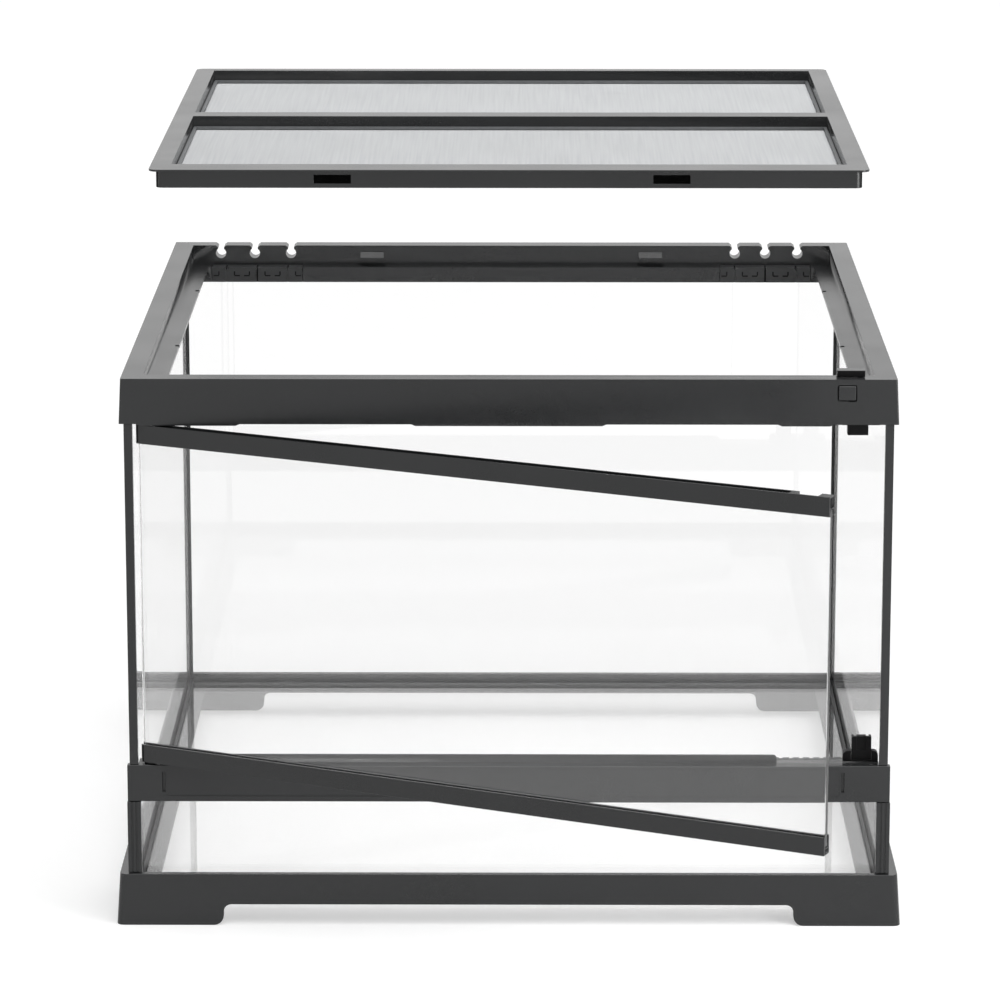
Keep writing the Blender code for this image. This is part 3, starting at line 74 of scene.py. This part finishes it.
# White studio: a pale surround that shows as white, a wide overhead light and a soft box at the front right
SURROUND_LEVEL = 0.36
OVERHEAD_STRENGTH = 1.75
OVERHEAD_SPREAD = radians(50.0)
OVERHEAD_FROM = (0.12, -0.30, 1.0)
SOFT_BOX_PLACE = (1.05, -0.95, 0.5)
SOFT_BOX_SIZE = 0.6
SOFT_BOX_POWER = 9.0
SOFT_BOX_TARGET = (0.1, -0.1, 0.2)
FLOOR_REACH = 12.0
FLOOR_COLOUR = "#d6d6d6"
FLOOR_GLOW = 0.43
FLOOR_GLOW_THROUGH_GLASS = 0.455
FLOOR_GLOW_IN_SHINE = 0.28

# Rounded edges
MOULDED_EDGE = 0.45 * MM
LIP_EDGE = 0.15 * MM
LID_EDGE = 0.20 * MM
SMALL_EDGE = 0.25 * MM
GROUND_EDGE = 0.35 * MM
SHARPEST_SOFT_ANGLE = radians(30.0)
CREASE_ANGLE = radians(50.0)
FLAT_ANGLE = radians(0.5)
FACES_WAY = 0.99

# Woven lid mesh, drawn with its wires straight and one layer over the other
WIRE_PITCH = 1.4 * MM
WIRE_WIDTH = 0.30 * MM
MESH_SAG = 0.35 * MM
MESH_RIPPLE = 0.3
SAG_STEPS = 12

# Silicone in the tank's rear corners
CORNER_BEAD = 2.2 * MM
CORNER_BEAD_STEPS = 5

# Cable flaps: painted shade shaped as two hooks on each flap's lip stands for its relief cuts, and slits part
# it from the next
FLAP_SPACING = 20.4 * MM
HOOK_REACH = 5.0 * MM
HOOK_GAP = 1.4 * MM
HOOK_WIDTH = 0.8 * MM
HOOK_HEIGHT = 2.9 * MM
HOOK_RISE = 4.3 * MM
FLAP_ROW_HALF = 29.6 * MM
SEAM_STAND = 0.04 * MM
SLIT_FILL = 0.96 * MM
SLIT_DEPTH = 0.4 * MM
SLIT_TOP = 4.0 * MM
END_GAP = 0.26 * MM

# The door rails are hollow at their free end, behind this much wall; the hollow's bottom gets painted shade
RAIL_END_WALL = 0.55 * MM
RAIL_END_DEPTH = 2.5 * MM

# The narrow slots beside the bar's panel, from the bar's middle, and how deep their mouth is; their insides
# get painted shade
BAR_SLOTS = (-0.2010, 0.1948)
BAR_SLOT_HALF = 2.2 * MM
BAR_SLOT_MOUTH = 0.3 * MM
BAR_SLOT_LARGEST_FACE = 100.0 * MM * MM

# The lid's front rim is hollow from here to here behind the lid's front edge, under its top wall; its inside
# there gets painted shade
LID_HOLLOW_START = 5.4 * MM
LID_HOLLOW_END = 19.6 * MM
LID_TOP_WALL = 1.4 * MM
LID_FOOT = 0.1 * MM


def linear(hex_colour, alpha=1.0):
    """Turn an sRGB hex colour into the linear one that shaders take."""
    channels = []
    for place in (1, 3, 5):
        value = int(hex_colour[place:place + 2], 16) / 255.0
        if value <= 0.04045:
            channels.append(value / 12.92)
        else:
            channels.append(((value + 0.055) / 1.055) ** 2.4)
    return (*channels, alpha)


def add_node(tree, kind, settings=None, inputs=None):
    """Add a shader node, with its settings, and its inputs as values or as sockets to link from."""
    node = tree.nodes.new(kind)
    for name, value in (settings or {}).items():
        setattr(node, name, value)
    for name, value in (inputs or {}).items():
        if isinstance(value, bpy.types.NodeSocket):
            tree.links.new(value, node.inputs[name])
        else:
            node.inputs[name].default_value = value
    return node


def blank_material(name):
    """Return a material with an empty node tree and its output."""
    material = bpy.data.materials.new(name)
    material.use_nodes = True
    material.node_tree.nodes.clear()
    output = add_node(material.node_tree, "ShaderNodeOutputMaterial")
    return material, material.node_tree, output


def moulded_plastic(name, dark, light, roughness, ior, grain, depth, dust):
    """Injection-moulded plastic with a fine spark-eroded grain.

    The grain breaks the shine into a soft satin, the colour and the gloss drift a little where the
    melt flowed, and a trace of dust lightens the faces that look up.
    """
    material, tree, output = blank_material(name)
    place = add_node(tree, "ShaderNodeTexCoord").outputs["Object"]
    flow = add_node(tree, "ShaderNodeTexNoise", inputs={
        "Vector": place, "Scale": 1.0 / (60.0 * MM), "Detail": 3.0, "Roughness": 0.5,
    }).outputs["Fac"]
    fine = add_node(tree, "ShaderNodeTexNoise", inputs={
        "Vector": place, "Scale": 1.0 / grain, "Detail": 2.0, "Roughness": 0.6,
    }).outputs["Fac"]
    mottle = add_node(tree, "ShaderNodeMix", {"data_type": "FLOAT"}, {
        "Factor": 0.5, "A": flow, "B": fine,
    }).outputs["Result"]
    shade = add_node(tree, "ShaderNodeMapRange", inputs={
        "Value": mottle, "From Min": 0.3, "From Max": 0.7, "To Min": 0.0, "To Max": 1.0,
    }).outputs["Result"]
    body = add_node(tree, "ShaderNodeMix", {"data_type": "RGBA"}, {
        "Factor": shade, "A": linear(dark), "B": linear(light),
    }).outputs["Result"]
    facing = add_node(tree, "ShaderNodeSeparateXYZ", inputs={
        "Vector": add_node(tree, "ShaderNodeNewGeometry").outputs["Normal"],
    }).outputs["Z"]
    settled = add_node(tree, "ShaderNodeMapRange", inputs={
        "Value": facing, "From Min": 0.7, "From Max": 1.0, "To Min": 0.0, "To Max": dust,
    }).outputs["Result"]
    colour = add_node(tree, "ShaderNodeMix", {"data_type": "RGBA"}, {
        "Factor": settled, "A": body, "B": linear("#8c8d8e"),
    }).outputs["Result"]
    gloss = add_node(tree, "ShaderNodeMapRange", inputs={
        "Value": flow, "From Min": 0.3, "From Max": 0.7,
        "To Min": roughness - 0.03, "To Max": roughness + 0.03,
    }).outputs["Result"]
    bump = add_node(tree, "ShaderNodeBump", inputs={
        "Height": fine, "Strength": 0.3, "Distance": depth,
    }).outputs["Normal"]
    shader = add_node(tree, "ShaderNodeBsdfPrincipled", inputs={
        "Base Color": colour, "Roughness": gloss, "Normal": bump, "IOR": ior,
    })
    tree.links.new(shader.outputs["BSDF"], output.inputs["Surface"])
    return material


def soda_lime_glass(name, tint, roughness):
    """Float glass: clear, with a very faint grey tint. Lamps shine straight through it."""
    material, tree, output = blank_material(name)
    shader = add_node(tree, "ShaderNodeBsdfPrincipled", inputs={
        "Base Color": linear(tint), "Roughness": roughness, "IOR": 1.5, "Transmission Weight": 1.0,
    })
    clear = add_node(tree, "ShaderNodeBsdfTransparent", inputs={"Color": linear(tint)})
    rays = add_node(tree, "ShaderNodeLightPath")
    mix = add_node(tree, "ShaderNodeMixShader", inputs={"Fac": rays.outputs["Is Shadow Ray"]})
    tree.links.new(shader.outputs["BSDF"], mix.inputs[1])
    tree.links.new(clear.outputs["BSDF"], mix.inputs[2])
    tree.links.new(mix.outputs["Shader"], output.inputs["Surface"])
    return material


def silicone_rubber(name, dark, light):
    """Cured silicone or glue, squeezed out as a bead: satin and slightly lumpy."""
    material, tree, output = blank_material(name)
    place = add_node(tree, "ShaderNodeTexCoord").outputs["Object"]
    lumps = add_node(tree, "ShaderNodeTexNoise", inputs={
        "Vector": place, "Scale": 1.0 / (4.0 * MM), "Detail": 2.0,
    }).outputs["Fac"]
    colour = add_node(tree, "ShaderNodeMix", {"data_type": "RGBA"}, {
        "Factor": lumps, "A": linear(dark), "B": linear(light),
    }).outputs["Result"]
    bump = add_node(tree, "ShaderNodeBump", inputs={
        "Height": lumps, "Strength": 0.2, "Distance": 0.15 * MM,
    }).outputs["Normal"]
    shader = add_node(tree, "ShaderNodeBsdfPrincipled", inputs={
        "Base Color": colour, "Roughness": 0.45, "Normal": bump, "IOR": 1.41,
    })
    tree.links.new(shader.outputs["BSDF"], output.inputs["Surface"])
    return material


def unlit_depth(name):
    """Painted shade for the bottom of a narrow seam, slot or hollow, where hardly any light gets in: near
    black, faintly mottled and without shine.
    """
    material, tree, output = blank_material(name)
    place = add_node(tree, "ShaderNodeTexCoord").outputs["Object"]
    shade_mottle = add_node(tree, "ShaderNodeTexNoise", inputs={
        "Vector": place, "Scale": 1.0 / (3.0 * MM), "Detail": 2.0,
    }).outputs["Fac"]
    colour = add_node(tree, "ShaderNodeMix", {"data_type": "RGBA"}, {
        "Factor": shade_mottle, "A": linear("#060606"), "B": linear("#121212"),
    }).outputs["Result"]
    shader = add_node(tree, "ShaderNodeBsdfPrincipled", inputs={
        "Base Color": colour, "Roughness": 0.9, "IOR": 1.1,
    })
    tree.links.new(shader.outputs["BSDF"], output.inputs["Surface"])
    return material


def drawn_steel(name, dark, light, roughness, streak):
    """Drawn steel wire: grey, with fine streaks along it that spread its shine.

    streak is the streaks' spacing in X, Y and Z.
    """
    material, tree, output = blank_material(name)
    place = add_node(tree, "ShaderNodeTexCoord").outputs["Object"]
    stretched = add_node(tree, "ShaderNodeVectorMath", {"operation": "DIVIDE"}, {0: place, 1: streak})
    streaks = add_node(tree, "ShaderNodeTexNoise", inputs={
        "Vector": stretched.outputs["Vector"], "Scale": 1.0, "Detail": 1.0,
    }).outputs["Fac"]
    spread = add_node(tree, "ShaderNodeMapRange", inputs={
        "Value": streaks, "From Min": 0.25, "From Max": 0.75, "To Min": 0.0, "To Max": 1.0,
    }).outputs["Result"]
    gloss = add_node(tree, "ShaderNodeMapRange", inputs={
        "Value": streaks, "To Min": roughness - 0.06, "To Max": roughness + 0.06,
    }).outputs["Result"]
    colour = add_node(tree, "ShaderNodeMix", {"data_type": "RGBA"}, {
        "Factor": spread, "A": linear(dark), "B": linear(light),
    }).outputs["Result"]
    shader = add_node(tree, "ShaderNodeBsdfPrincipled", inputs={
        "Base Color": colour, "Roughness": gloss, "Metallic": 1.0,
    })
    tree.links.new(shader.outputs["BSDF"], output.inputs["Surface"])
    return material


CHARCOAL_ABS = moulded_plastic(
    "charcoal_abs_moulded", "#1c1d1e", "#242526", 0.24, 1.5, 0.4 * MM, 0.006 * MM, 0.04
)
BLACK_NYLON = moulded_plastic(
    "black_nylon_moulded", "#040405", "#0a0a0b", 0.42, 1.22, 0.4 * MM, 0.010 * MM, 0.01
)
FLAP_RUBBER = moulded_plastic("soft_flap_rubber", "#232425", "#2b2c2d", 0.42, 1.5, 0.5 * MM, 0.015 * MM, 0.05)
# Painted shade, put on the insides of slots, hollows and gaps
PAINTED_SHADE = unlit_depth("painted_shade_of_seams")
PANE_GLASS = soda_lime_glass("float_glass_pane", "#f8f8f8", 0.0)
EDGE_GLASS = soda_lime_glass("ground_glass_edge", "#e6e7e7", 0.25)
SILICONE = silicone_rubber("black_silicone_bead", "#151617", "#202122")
GREY_GLUE = silicone_rubber("grey_glue_bead", "#6b6d6f", "#7f8183")
SPRING_STEEL = drawn_steel("spring_steel_wire", "#9a9c9e", "#c4c6c8", 0.30, (2.0 * MM, 2.0 * MM, 2.0 * MM))
MESH_WIRE = drawn_steel("woven_steel_mesh", "#8a8b8c", "#969798", 0.45, (1.6 * MM, 90.0 * MM, 90.0 * MM))


def welded_copy(node, in_halves=False):
    """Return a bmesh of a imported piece, with its split corners joined and flat faces made whole.

    in_halves keeps the left and the right half of each flat face apart, so that none runs round a hole.
    """
    bm = bmesh.new()
    bm.from_mesh(frame["nodes"][node].data)
    bmesh.ops.remove_doubles(bm, verts=bm.verts[:], dist=0.001 * MM)
    if in_halves:
        low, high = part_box(node)
        middle = (low + high) / 2.0
        bmesh.ops.bisect_plane(
            bm, geom=bm.verts[:] + bm.edges[:] + bm.faces[:], plane_co=middle, plane_no=(1.0, 0.0, 0.0)
        )
        for face in bm.faces:
            face.material_index = 1 if face.calc_center_median().x > middle.x else 0
    bmesh.ops.dissolve_limit(
        bm, angle_limit=FLAT_ANGLE, verts=bm.verts[:], edges=bm.edges[:], delimit={"MATERIAL"}
    )
    for face in bm.faces:
        face.material_index = 0
    return bm


def roomy_edge(edge, width):
    """Say whether an edge is an outer one, with room on both its faces for a rounding."""
    if len(edge.link_faces) != 2 or not edge.is_convex:
        return False
    if edge.calc_face_angle() < SHARPEST_SOFT_ANGLE:
        return False
    for vert in edge.verts:
        for other in vert.link_edges:
            turned = other.is_manifold and other.calc_face_angle() > SHARPEST_SOFT_ANGLE
            if other is not edge and turned and other.calc_length() < 2.2 * width:
                return False
    return edge.calc_length() > 1.5 * width


def finish_mesh(bm, name, node, materials):
    """Make a piece of a bmesh, let it ride with the node that it stands for, and return it."""
    mesh = bpy.data.meshes.new(name)
    bm.to_mesh(mesh)
    bm.free()
    for material in materials:
        mesh.materials.append(material)
    piece = bpy.data.objects.new(name, mesh)
    bpy.context.scene.collection.objects.link(piece)
    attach(piece, BODY_OF[node])
    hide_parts(node)
    return piece


def keep_flats_flat(piece):
    """Smooth a piece over its roundings while its flat faces stay flat."""
    piece.data.shade_smooth()
    piece.data.set_sharp_from_angle(angle=CREASE_ANGLE)
    weigh = piece.modifiers.new("weigh_normals", "WEIGHTED_NORMAL")
    weigh.keep_sharp = True
    weigh.weight = 80


def round_edges(bm, width):
    """Round the outer edges of a piece, so that they catch the light."""
    edges = [edge for edge in bm.edges if roomy_edge(edge, width)]
    if edges:
        bmesh.ops.bevel(
            bm, geom=edges, offset=width, segments=2, profile=0.5, affect="EDGES", clamp_overlap=True
        )


def rounded_moulding(node, material, width=MOULDED_EDGE):
    """Stand a copy of a moulded piece in its place, with its outer edges rounded."""
    bm = welded_copy(node)
    round_edges(bm, width)
    piece = finish_mesh(bm, node + "_moulding", node, [material])
    keep_flats_flat(piece)
    return piece


def ground_pane(node, through):
    """Stand a pane with ground, lightly chamfered edges in a packed pane's place.

    through is the direction of the pane's thickness.
    """
    bm = welded_copy(node)
    direction = Vector(through).normalized()
    bmesh.ops.bevel(
        bm, geom=bm.edges[:], offset=GROUND_EDGE, segments=1, profile=0.5, affect="EDGES", clamp_overlap=True
    )
    for face in bm.faces:
        face.material_index = 0 if abs(face.normal.dot(direction)) > FACES_WAY else 1
    return finish_mesh(bm, node + "_pane", node, [PANE_GLASS, EDGE_GLASS])


def bodies_by_node():
    """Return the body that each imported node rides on."""
    found = {}
    for name, body in frame["bodies"].items():
        for child in body.children_recursive:
            if child in frame["nodes"].values():
                found[child.name] = name
    return found


BODY_OF = bodies_by_node()


def dress_panes():
    """Give each pane its ground edges."""
    along = door_direction()
    for node in ("left_glass", "right_glass"):
        ground_pane(node, (1.0, 0.0, 0.0))
    for node in ("rear_glass", "lower_front_glass"):
        ground_pane(node, (0.0, 1.0, 0.0))
    ground_pane("floor_glass", (0.0, 0.0, 1.0))
    ground_pane("door_glass", (along.y, -along.x, 0.0))


def door_direction():
    """Return the level direction from the door's hinge to its free edge."""
    pane = frame["nodes"]["door_glass"].data
    longest = max(level_length(pane, edge) for edge in pane.edges)
    side = next(edge for edge in pane.edges if level_length(pane, edge) > 0.9 * longest)
    start, end = (pane.vertices[index].co for index in side.vertices)
    direction = (end - start).normalized()
    return direction if direction.x > 0.0 else -direction


def level_length(mesh, edge):
    """Return the length of an edge that runs level, or else nothing."""
    start, end = (mesh.vertices[index].co for index in edge.vertices)
    span = end - start
    return 0.0 if abs(span.z) > MM else span.length


def dress_mouldings():
    """Round the edges of the moulded pieces and give them their plastics."""
    for node in ("base_frame", "top_frame"):
        rounded_moulding(node, CHARCOAL_ABS)
    for node in ("left_post", "right_post", "lower_left_post", "lower_right_post", "vent_strip"):
        rounded_moulding(node, CHARCOAL_ABS, SMALL_EDGE)
    rounded_moulding("latch_button", CHARCOAL_ABS, SMALL_EDGE)
    for node in ("latch_housing", "latch_bolt", "lower_catch_block", "lower_catch_bracket"):
        rounded_moulding(node, BLACK_NYLON, SMALL_EDGE)


def dress_bar():
    """Round the bar's edges, and paint shade on the inside of its two narrow slots."""
    bm = welded_copy("front_bar")
    low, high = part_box("front_bar")
    round_edges(bm, MOULDED_EDGE)
    # Faces inside the two slots get painted shade
    for face in bm.faces:
        middle = face.calc_center_median()
        for slot in BAR_SLOTS:
            inside = abs(middle.x - slot) < BAR_SLOT_HALF and face.calc_area() < BAR_SLOT_LARGEST_FACE
            if inside and middle.y > low.y + BAR_SLOT_MOUTH and low.z < middle.z < high.z - MM:
                face.material_index = 1
    piece = finish_mesh(bm, "front_bar_moulding", "front_bar", [CHARCOAL_ABS, PAINTED_SHADE])
    keep_flats_flat(piece)


def dress_rails():
    """Round the door rails' edges, and hollow their free end, with painted shade on the hollow's bottom."""
    along = door_direction()
    for node in ("door_top_rail", "door_bottom_rail"):
        bm = welded_copy(node)
        reach = max(vert.co.dot(along) for vert in bm.verts)
        round_edges(bm, LIP_EDGE)
        ends = [
            face for face in bm.faces
            if face.normal.dot(along) > FACES_WAY and reach - face.calc_center_median().dot(along) < MM
        ]
        bmesh.ops.inset_region(bm, faces=ends, thickness=RAIL_END_WALL, use_even_offset=True)
        # The hollow's bottom gets painted shade
        for face in bmesh.ops.extrude_discrete_faces(bm, faces=ends)["faces"]:
            face.material_index = 1
            for vert in face.verts:
                vert.co -= along * RAIL_END_DEPTH
        piece = finish_mesh(bm, node + "_moulding", node, [CHARCOAL_ABS, PAINTED_SHADE])
        keep_flats_flat(piece)


def dress_lid():
    """Round the lid's edges, and give the inside of its front rim painted shade."""
    bm = welded_copy("lid_frame", in_halves=True)
    low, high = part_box("lid_frame")
    round_edges(bm, LID_EDGE)
    # Faces inside the front rim's hollow get painted shade
    for face in bm.faces:
        middle = face.calc_center_median()
        inside = LID_HOLLOW_START < middle.y - low.y < LID_HOLLOW_END
        if inside and middle.z < high.z - LID_TOP_WALL and middle.z > low.z + LID_FOOT:
            face.material_index = 1
    piece = finish_mesh(bm, "lid_frame_moulding", "lid_frame", [CHARCOAL_ABS, PAINTED_SHADE])
    keep_flats_flat(piece)


def dress_lid_lock():
    """Round the lid lock's edges. Its faces that look up get the lighter charcoal plastic as painted light,
    the rest black nylon.
    """
    bm = welded_copy("lid_lock")
    round_edges(bm, SMALL_EDGE)
    # Painted light: the lock's top faces get the lighter charcoal plastic
    for face in bm.faces:
        face.material_index = 1 if face.normal.z > 0.9 else 0
    piece = finish_mesh(bm, "lid_lock_moulding", "lid_lock", [BLACK_NYLON, CHARCOAL_ABS])
    keep_flats_flat(piece)


def add_block(bm, low, high, material_index):
    """Add a block between two corners."""
    made = bmesh.ops.create_cube(bm, size=1.0)
    for vert in made["verts"]:
        for axis in range(3):
            vert.co[axis] = high[axis] if vert.co[axis] > 0.0 else low[axis]
    for face in {face for vert in made["verts"] for face in vert.link_faces}:
        face.material_index = material_index


def add_hook_shade(bm, middle, low):
    """Add painted shade shaped as the hooks of a row of cable flaps to the face of its lip."""
    front = (low.y - SEAM_STAND, low.y + SEAM_STAND)
    bottom = low.z + HOOK_RISE
    for flap in (-1.5, -0.5, 0.5, 1.5):
        for sign in (-1.0, 1.0):
            centre = flap * FLAP_SPACING
            upright = centre + sign * HOOK_REACH
            start, end = sorted((upright, centre + sign * HOOK_GAP))
            if abs(upright) < FLAP_ROW_HALF:
                start = max(start, -FLAP_ROW_HALF)
                end = min(end, FLAP_ROW_HALF)
                add_block(
                    bm, (middle + start, front[0], bottom - HOOK_WIDTH / 2),
                    (middle + end, front[1], bottom + HOOK_WIDTH / 2), 1,
                )
                add_block(
                    bm, (middle + upright - HOOK_WIDTH / 2, front[0], bottom + HOOK_WIDTH / 2),
                    (middle + upright + HOOK_WIDTH / 2, front[1], bottom + HOOK_HEIGHT), 1,
                )


def dress_inlets():
    """Give each row of flaps its rubber, painted shade shaped as hooks on its lip, and painted shade in its
    middle slit and its end gaps.
    """
    lip_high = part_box("rear_glass")[1].z - SLIT_TOP
    for node in ("left_cable_inlet", "right_cable_inlet"):
        bm = welded_copy(node)
        low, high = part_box(node)
        middle = (low.x + high.x) / 2.0
        add_hook_shade(bm, middle, low)
        # The middle slit is filled with painted shade, the other two with the rubber
        for count in (-1, 0, 1):
            slit = middle + count * FLAP_SPACING
            add_block(
                bm, (slit - SLIT_FILL / 2.0, low.y + SLIT_DEPTH, low.z + SEAM_STAND),
                (slit + SLIT_FILL / 2.0, high.y - SLIT_DEPTH, lip_high), 1 if count == 0 else 0,
            )
        # The end gaps are filled with painted shade
        for edge in (low.x - END_GAP, high.x):
            add_block(
                bm, (edge + SEAM_STAND / 2.0, low.y + SLIT_DEPTH, low.z + SEAM_STAND),
                (edge + END_GAP - SEAM_STAND / 2.0, high.y - SLIT_DEPTH, lip_high), 1,
            )
        piece = finish_mesh(bm, node + "_flaps", node, [FLAP_RUBBER, PAINTED_SHADE])
        keep_flats_flat(piece)


def dress_rear_corners():
    """Tool a concave bead of silicone into each rear corner of the tank."""
    _, seal_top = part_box("floor_seal")
    frame_low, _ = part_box("top_frame")
    for node, inward in (("rear_left_post", 1.0), ("rear_right_post", -1.0)):
        bm = welded_copy(node)
        low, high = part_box(node)
        corner = Vector((high.x if inward > 0.0 else low.x, low.y))
        outline = [corner]
        for step in range(CORNER_BEAD_STEPS + 1):
            angle = pi / 2.0 * step / CORNER_BEAD_STEPS
            across = CORNER_BEAD * (1.0 - sin(angle))
            along = CORNER_BEAD * (1.0 - cos(angle))
            outline.append(corner + Vector((inward * across, -along)))
        rings = []
        for height in (seal_top.z, frame_low.z):
            rings.append([bm.verts.new((point.x, point.y, height)) for point in outline])
        bm.faces.new(rings[0])
        bm.faces.new(rings[1])
        for count in range(len(outline)):
            following = (count + 1) % len(outline)
            bm.faces.new((rings[0][count], rings[0][following], rings[1][following], rings[1][count]))
        bmesh.ops.recalc_face_normals(bm, faces=bm.faces[:])
        finish_mesh(bm, node + "_bead", node, [SILICONE])


def paint(node, material):
    """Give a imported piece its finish."""
    item = frame["nodes"][node]
    for place in item.material_slots:
        place.material = material


def paint_plain_pieces():
    """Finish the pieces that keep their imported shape."""
    for node in ("top_hinge_pin", "bottom_hinge_pin"):
        paint(node, BLACK_NYLON)
    paint("button_spring", SPRING_STEEL)
    paint("floor_seal", SILICONE)
    for node in ("front_screen_bead", "rear_screen_bead"):
        paint(node, GREY_GLUE)


def mesh_height(x, y, low, high):
    """Return how far the woven mesh stands off its plane between two opposite corners."""
    across = (x - low.x) / (high.x - low.x)
    along = (y - low.y) / (high.y - low.y)
    dish = -sin(pi * across) * sin(pi * along)
    ripple = MESH_RIPPLE * sin(9.0 * pi * across + 1.0) * sin(3.0 * pi * along)
    return MESH_SAG * (dish + ripple)


def add_wire(bm, points, across):
    """Add one square wire along points, half of its width to each side of them."""
    half = WIRE_WIDTH / 2.0
    up = Vector((0.0, 0.0, half))
    side = Vector(across) * half
    rings = []
    for point in points:
        rings.append([bm.verts.new(point + offset) for offset in (side, up, -side, -up)])
    for near, far in zip(rings, rings[1:]):
        for count in range(4):
            following = (count + 1) % 4
            bm.faces.new((near[count], near[following], far[following], far[count]))
    bm.faces.new(list(reversed(rings[0])))
    bm.faces.new(rings[-1])


def weave_screen(node):
    """Weave a lid screen: wires one way laid on wires the other way, a little slack in its frame."""
    low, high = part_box(node)
    middle = (low.z + high.z) / 2.0
    bm = bmesh.new()
    for axis in (0, 1):
        other = 1 - axis
        count = round((high[other] - low[other] - WIRE_WIDTH) / WIRE_PITCH)
        pitch = (high[other] - low[other] - WIRE_WIDTH) / count
        level = middle + (WIRE_WIDTH / 2.0 if axis == 0 else -WIRE_WIDTH / 2.0)
        for wire in range(count + 1):
            place = low[other] + WIRE_WIDTH / 2.0 + wire * pitch
            points = []
            for step in range(SAG_STEPS + 1):
                point = Vector((0.0, 0.0, 0.0))
                point[axis] = low[axis] + (high[axis] - low[axis]) * step / SAG_STEPS
                point[other] = place
                point.z = level + mesh_height(point.x, point.y, low, high)
                points.append(point)
            across = [0.0, 0.0, 0.0]
            across[other] = 1.0
            add_wire(bm, points, across)
    bmesh.ops.recalc_face_normals(bm, faces=bm.faces[:])
    return finish_mesh(bm, node + "_weave", node, [MESH_WIRE])


def seen_as_background(tree, in_view, through_glass, in_shine):
    """Return a socket with the background's level as seen directly, through glass or in a shine."""
    rays = add_node(tree, "ShaderNodeLightPath")
    level = None
    for kind, value in (("Camera", in_view), ("Transmission", through_glass), ("Glossy", in_shine)):
        part = add_node(tree, "ShaderNodeMath", {"operation": "MULTIPLY"}, {
            0: rays.outputs["Is " + kind + " Ray"], 1: value,
        }).outputs["Value"]
        if level:
            part = add_node(tree, "ShaderNodeMath", {"operation": "MAXIMUM"}, {
                0: level, 1: part,
            }).outputs["Value"]
        level = part
    return level


def add_floor():
    """Lay a plain pale floor that shows white and keeps the shadow."""
    material, tree, output = blank_material("pale_floor")
    matt = add_node(tree, "ShaderNodeBsdfDiffuse", inputs={"Color": linear(FLOOR_COLOUR)})
    glow = add_node(tree, "ShaderNodeEmission", inputs={
        "Color": linear("#ffffff"),
        "Strength": seen_as_background(tree, FLOOR_GLOW, FLOOR_GLOW_THROUGH_GLASS, FLOOR_GLOW_IN_SHINE),
    })
    lit = add_node(tree, "ShaderNodeAddShader")
    tree.links.new(matt.outputs["BSDF"], lit.inputs[0])
    tree.links.new(glow.outputs["Emission"], lit.inputs[1])
    tree.links.new(lit.outputs["Shader"], output.inputs["Surface"])
    mesh = bpy.data.meshes.new("floor")
    reach = FLOOR_REACH
    mesh.from_pydata(
        [(-reach, -reach, 0.0), (reach, -reach, 0.0), (reach, reach, 0.0), (-reach, reach, 0.0)],
        [], [(0, 1, 2, 3)],
    )
    mesh.materials.append(material)
    floor = bpy.data.objects.new("floor", mesh)
    bpy.context.scene.collection.objects.link(floor)


def add_sky():
    """Surround the scene with a pale studio that shows, and shines, as white."""
    world = bpy.data.worlds.new("white_studio")
    bpy.context.scene.world = world
    world.use_nodes = True
    tree = world.node_tree
    tree.nodes.clear()
    output = add_node(tree, "ShaderNodeOutputWorld")
    strength = add_node(tree, "ShaderNodeMath", {"operation": "MAXIMUM"}, {
        0: seen_as_background(tree, 1.0, 1.0, 1.0), 1: SURROUND_LEVEL,
    })
    sky = add_node(tree, "ShaderNodeBackground", inputs={
        "Color": linear("#ffffff"), "Strength": strength.outputs["Value"],
    })
    tree.links.new(sky.outputs["Background"], output.inputs["Surface"])


def point_at(lamp, place, target):
    """Put a lamp in its place, shining towards a target."""
    lamp.location = place
    lamp.rotation_euler = (Vector(target) - Vector(place)).to_track_quat("-Z", "Y").to_euler()
    bpy.context.scene.collection.objects.link(lamp)


def add_lights():
    """Light the tank evenly from above, and a little more from the front right."""
    overhead = bpy.data.lights.new("overhead_light", "SUN")
    overhead.energy = OVERHEAD_STRENGTH
    overhead.angle = OVERHEAD_SPREAD
    point_at(bpy.data.objects.new("overhead_light", overhead), OVERHEAD_FROM, (0.0, 0.0, 0.0))
    box = bpy.data.lights.new("soft_box", "AREA")
    box.energy = SOFT_BOX_POWER
    box.shape = "SQUARE"
    box.size = SOFT_BOX_SIZE
    point_at(bpy.data.objects.new("soft_box", box), SOFT_BOX_PLACE, SOFT_BOX_TARGET)


def add_camera():
    """Set up the camera at the photograph's place, angle and focal length."""
    lens = bpy.data.cameras.new("camera")
    lens.sensor_width = SENSOR_WIDTH
    lens.sensor_fit = "HORIZONTAL"
    lens.lens = CAMERA_LENS
    lens.clip_start = 0.05
    lens.clip_end = 60.0
    camera = bpy.data.objects.new("camera", lens)
    camera.location = CAMERA_PLACE
    camera.rotation_euler = (radians(90.0 - CAMERA_PITCH), 0.0, radians(CAMERA_YAW))
    bpy.context.scene.collection.objects.link(camera)
    bpy.context.scene.camera = camera


dress_panes()
dress_mouldings()
dress_bar()
dress_rails()
dress_lid()
dress_lid_lock()
dress_inlets()
dress_rear_corners()
paint_plain_pieces()
for screen in ("front_screen", "rear_screen"):
    weave_screen(screen)
add_floor()
add_sky()
add_lights()
add_camera()
bpy.context.scene.view_settings.view_transform = "Standard"
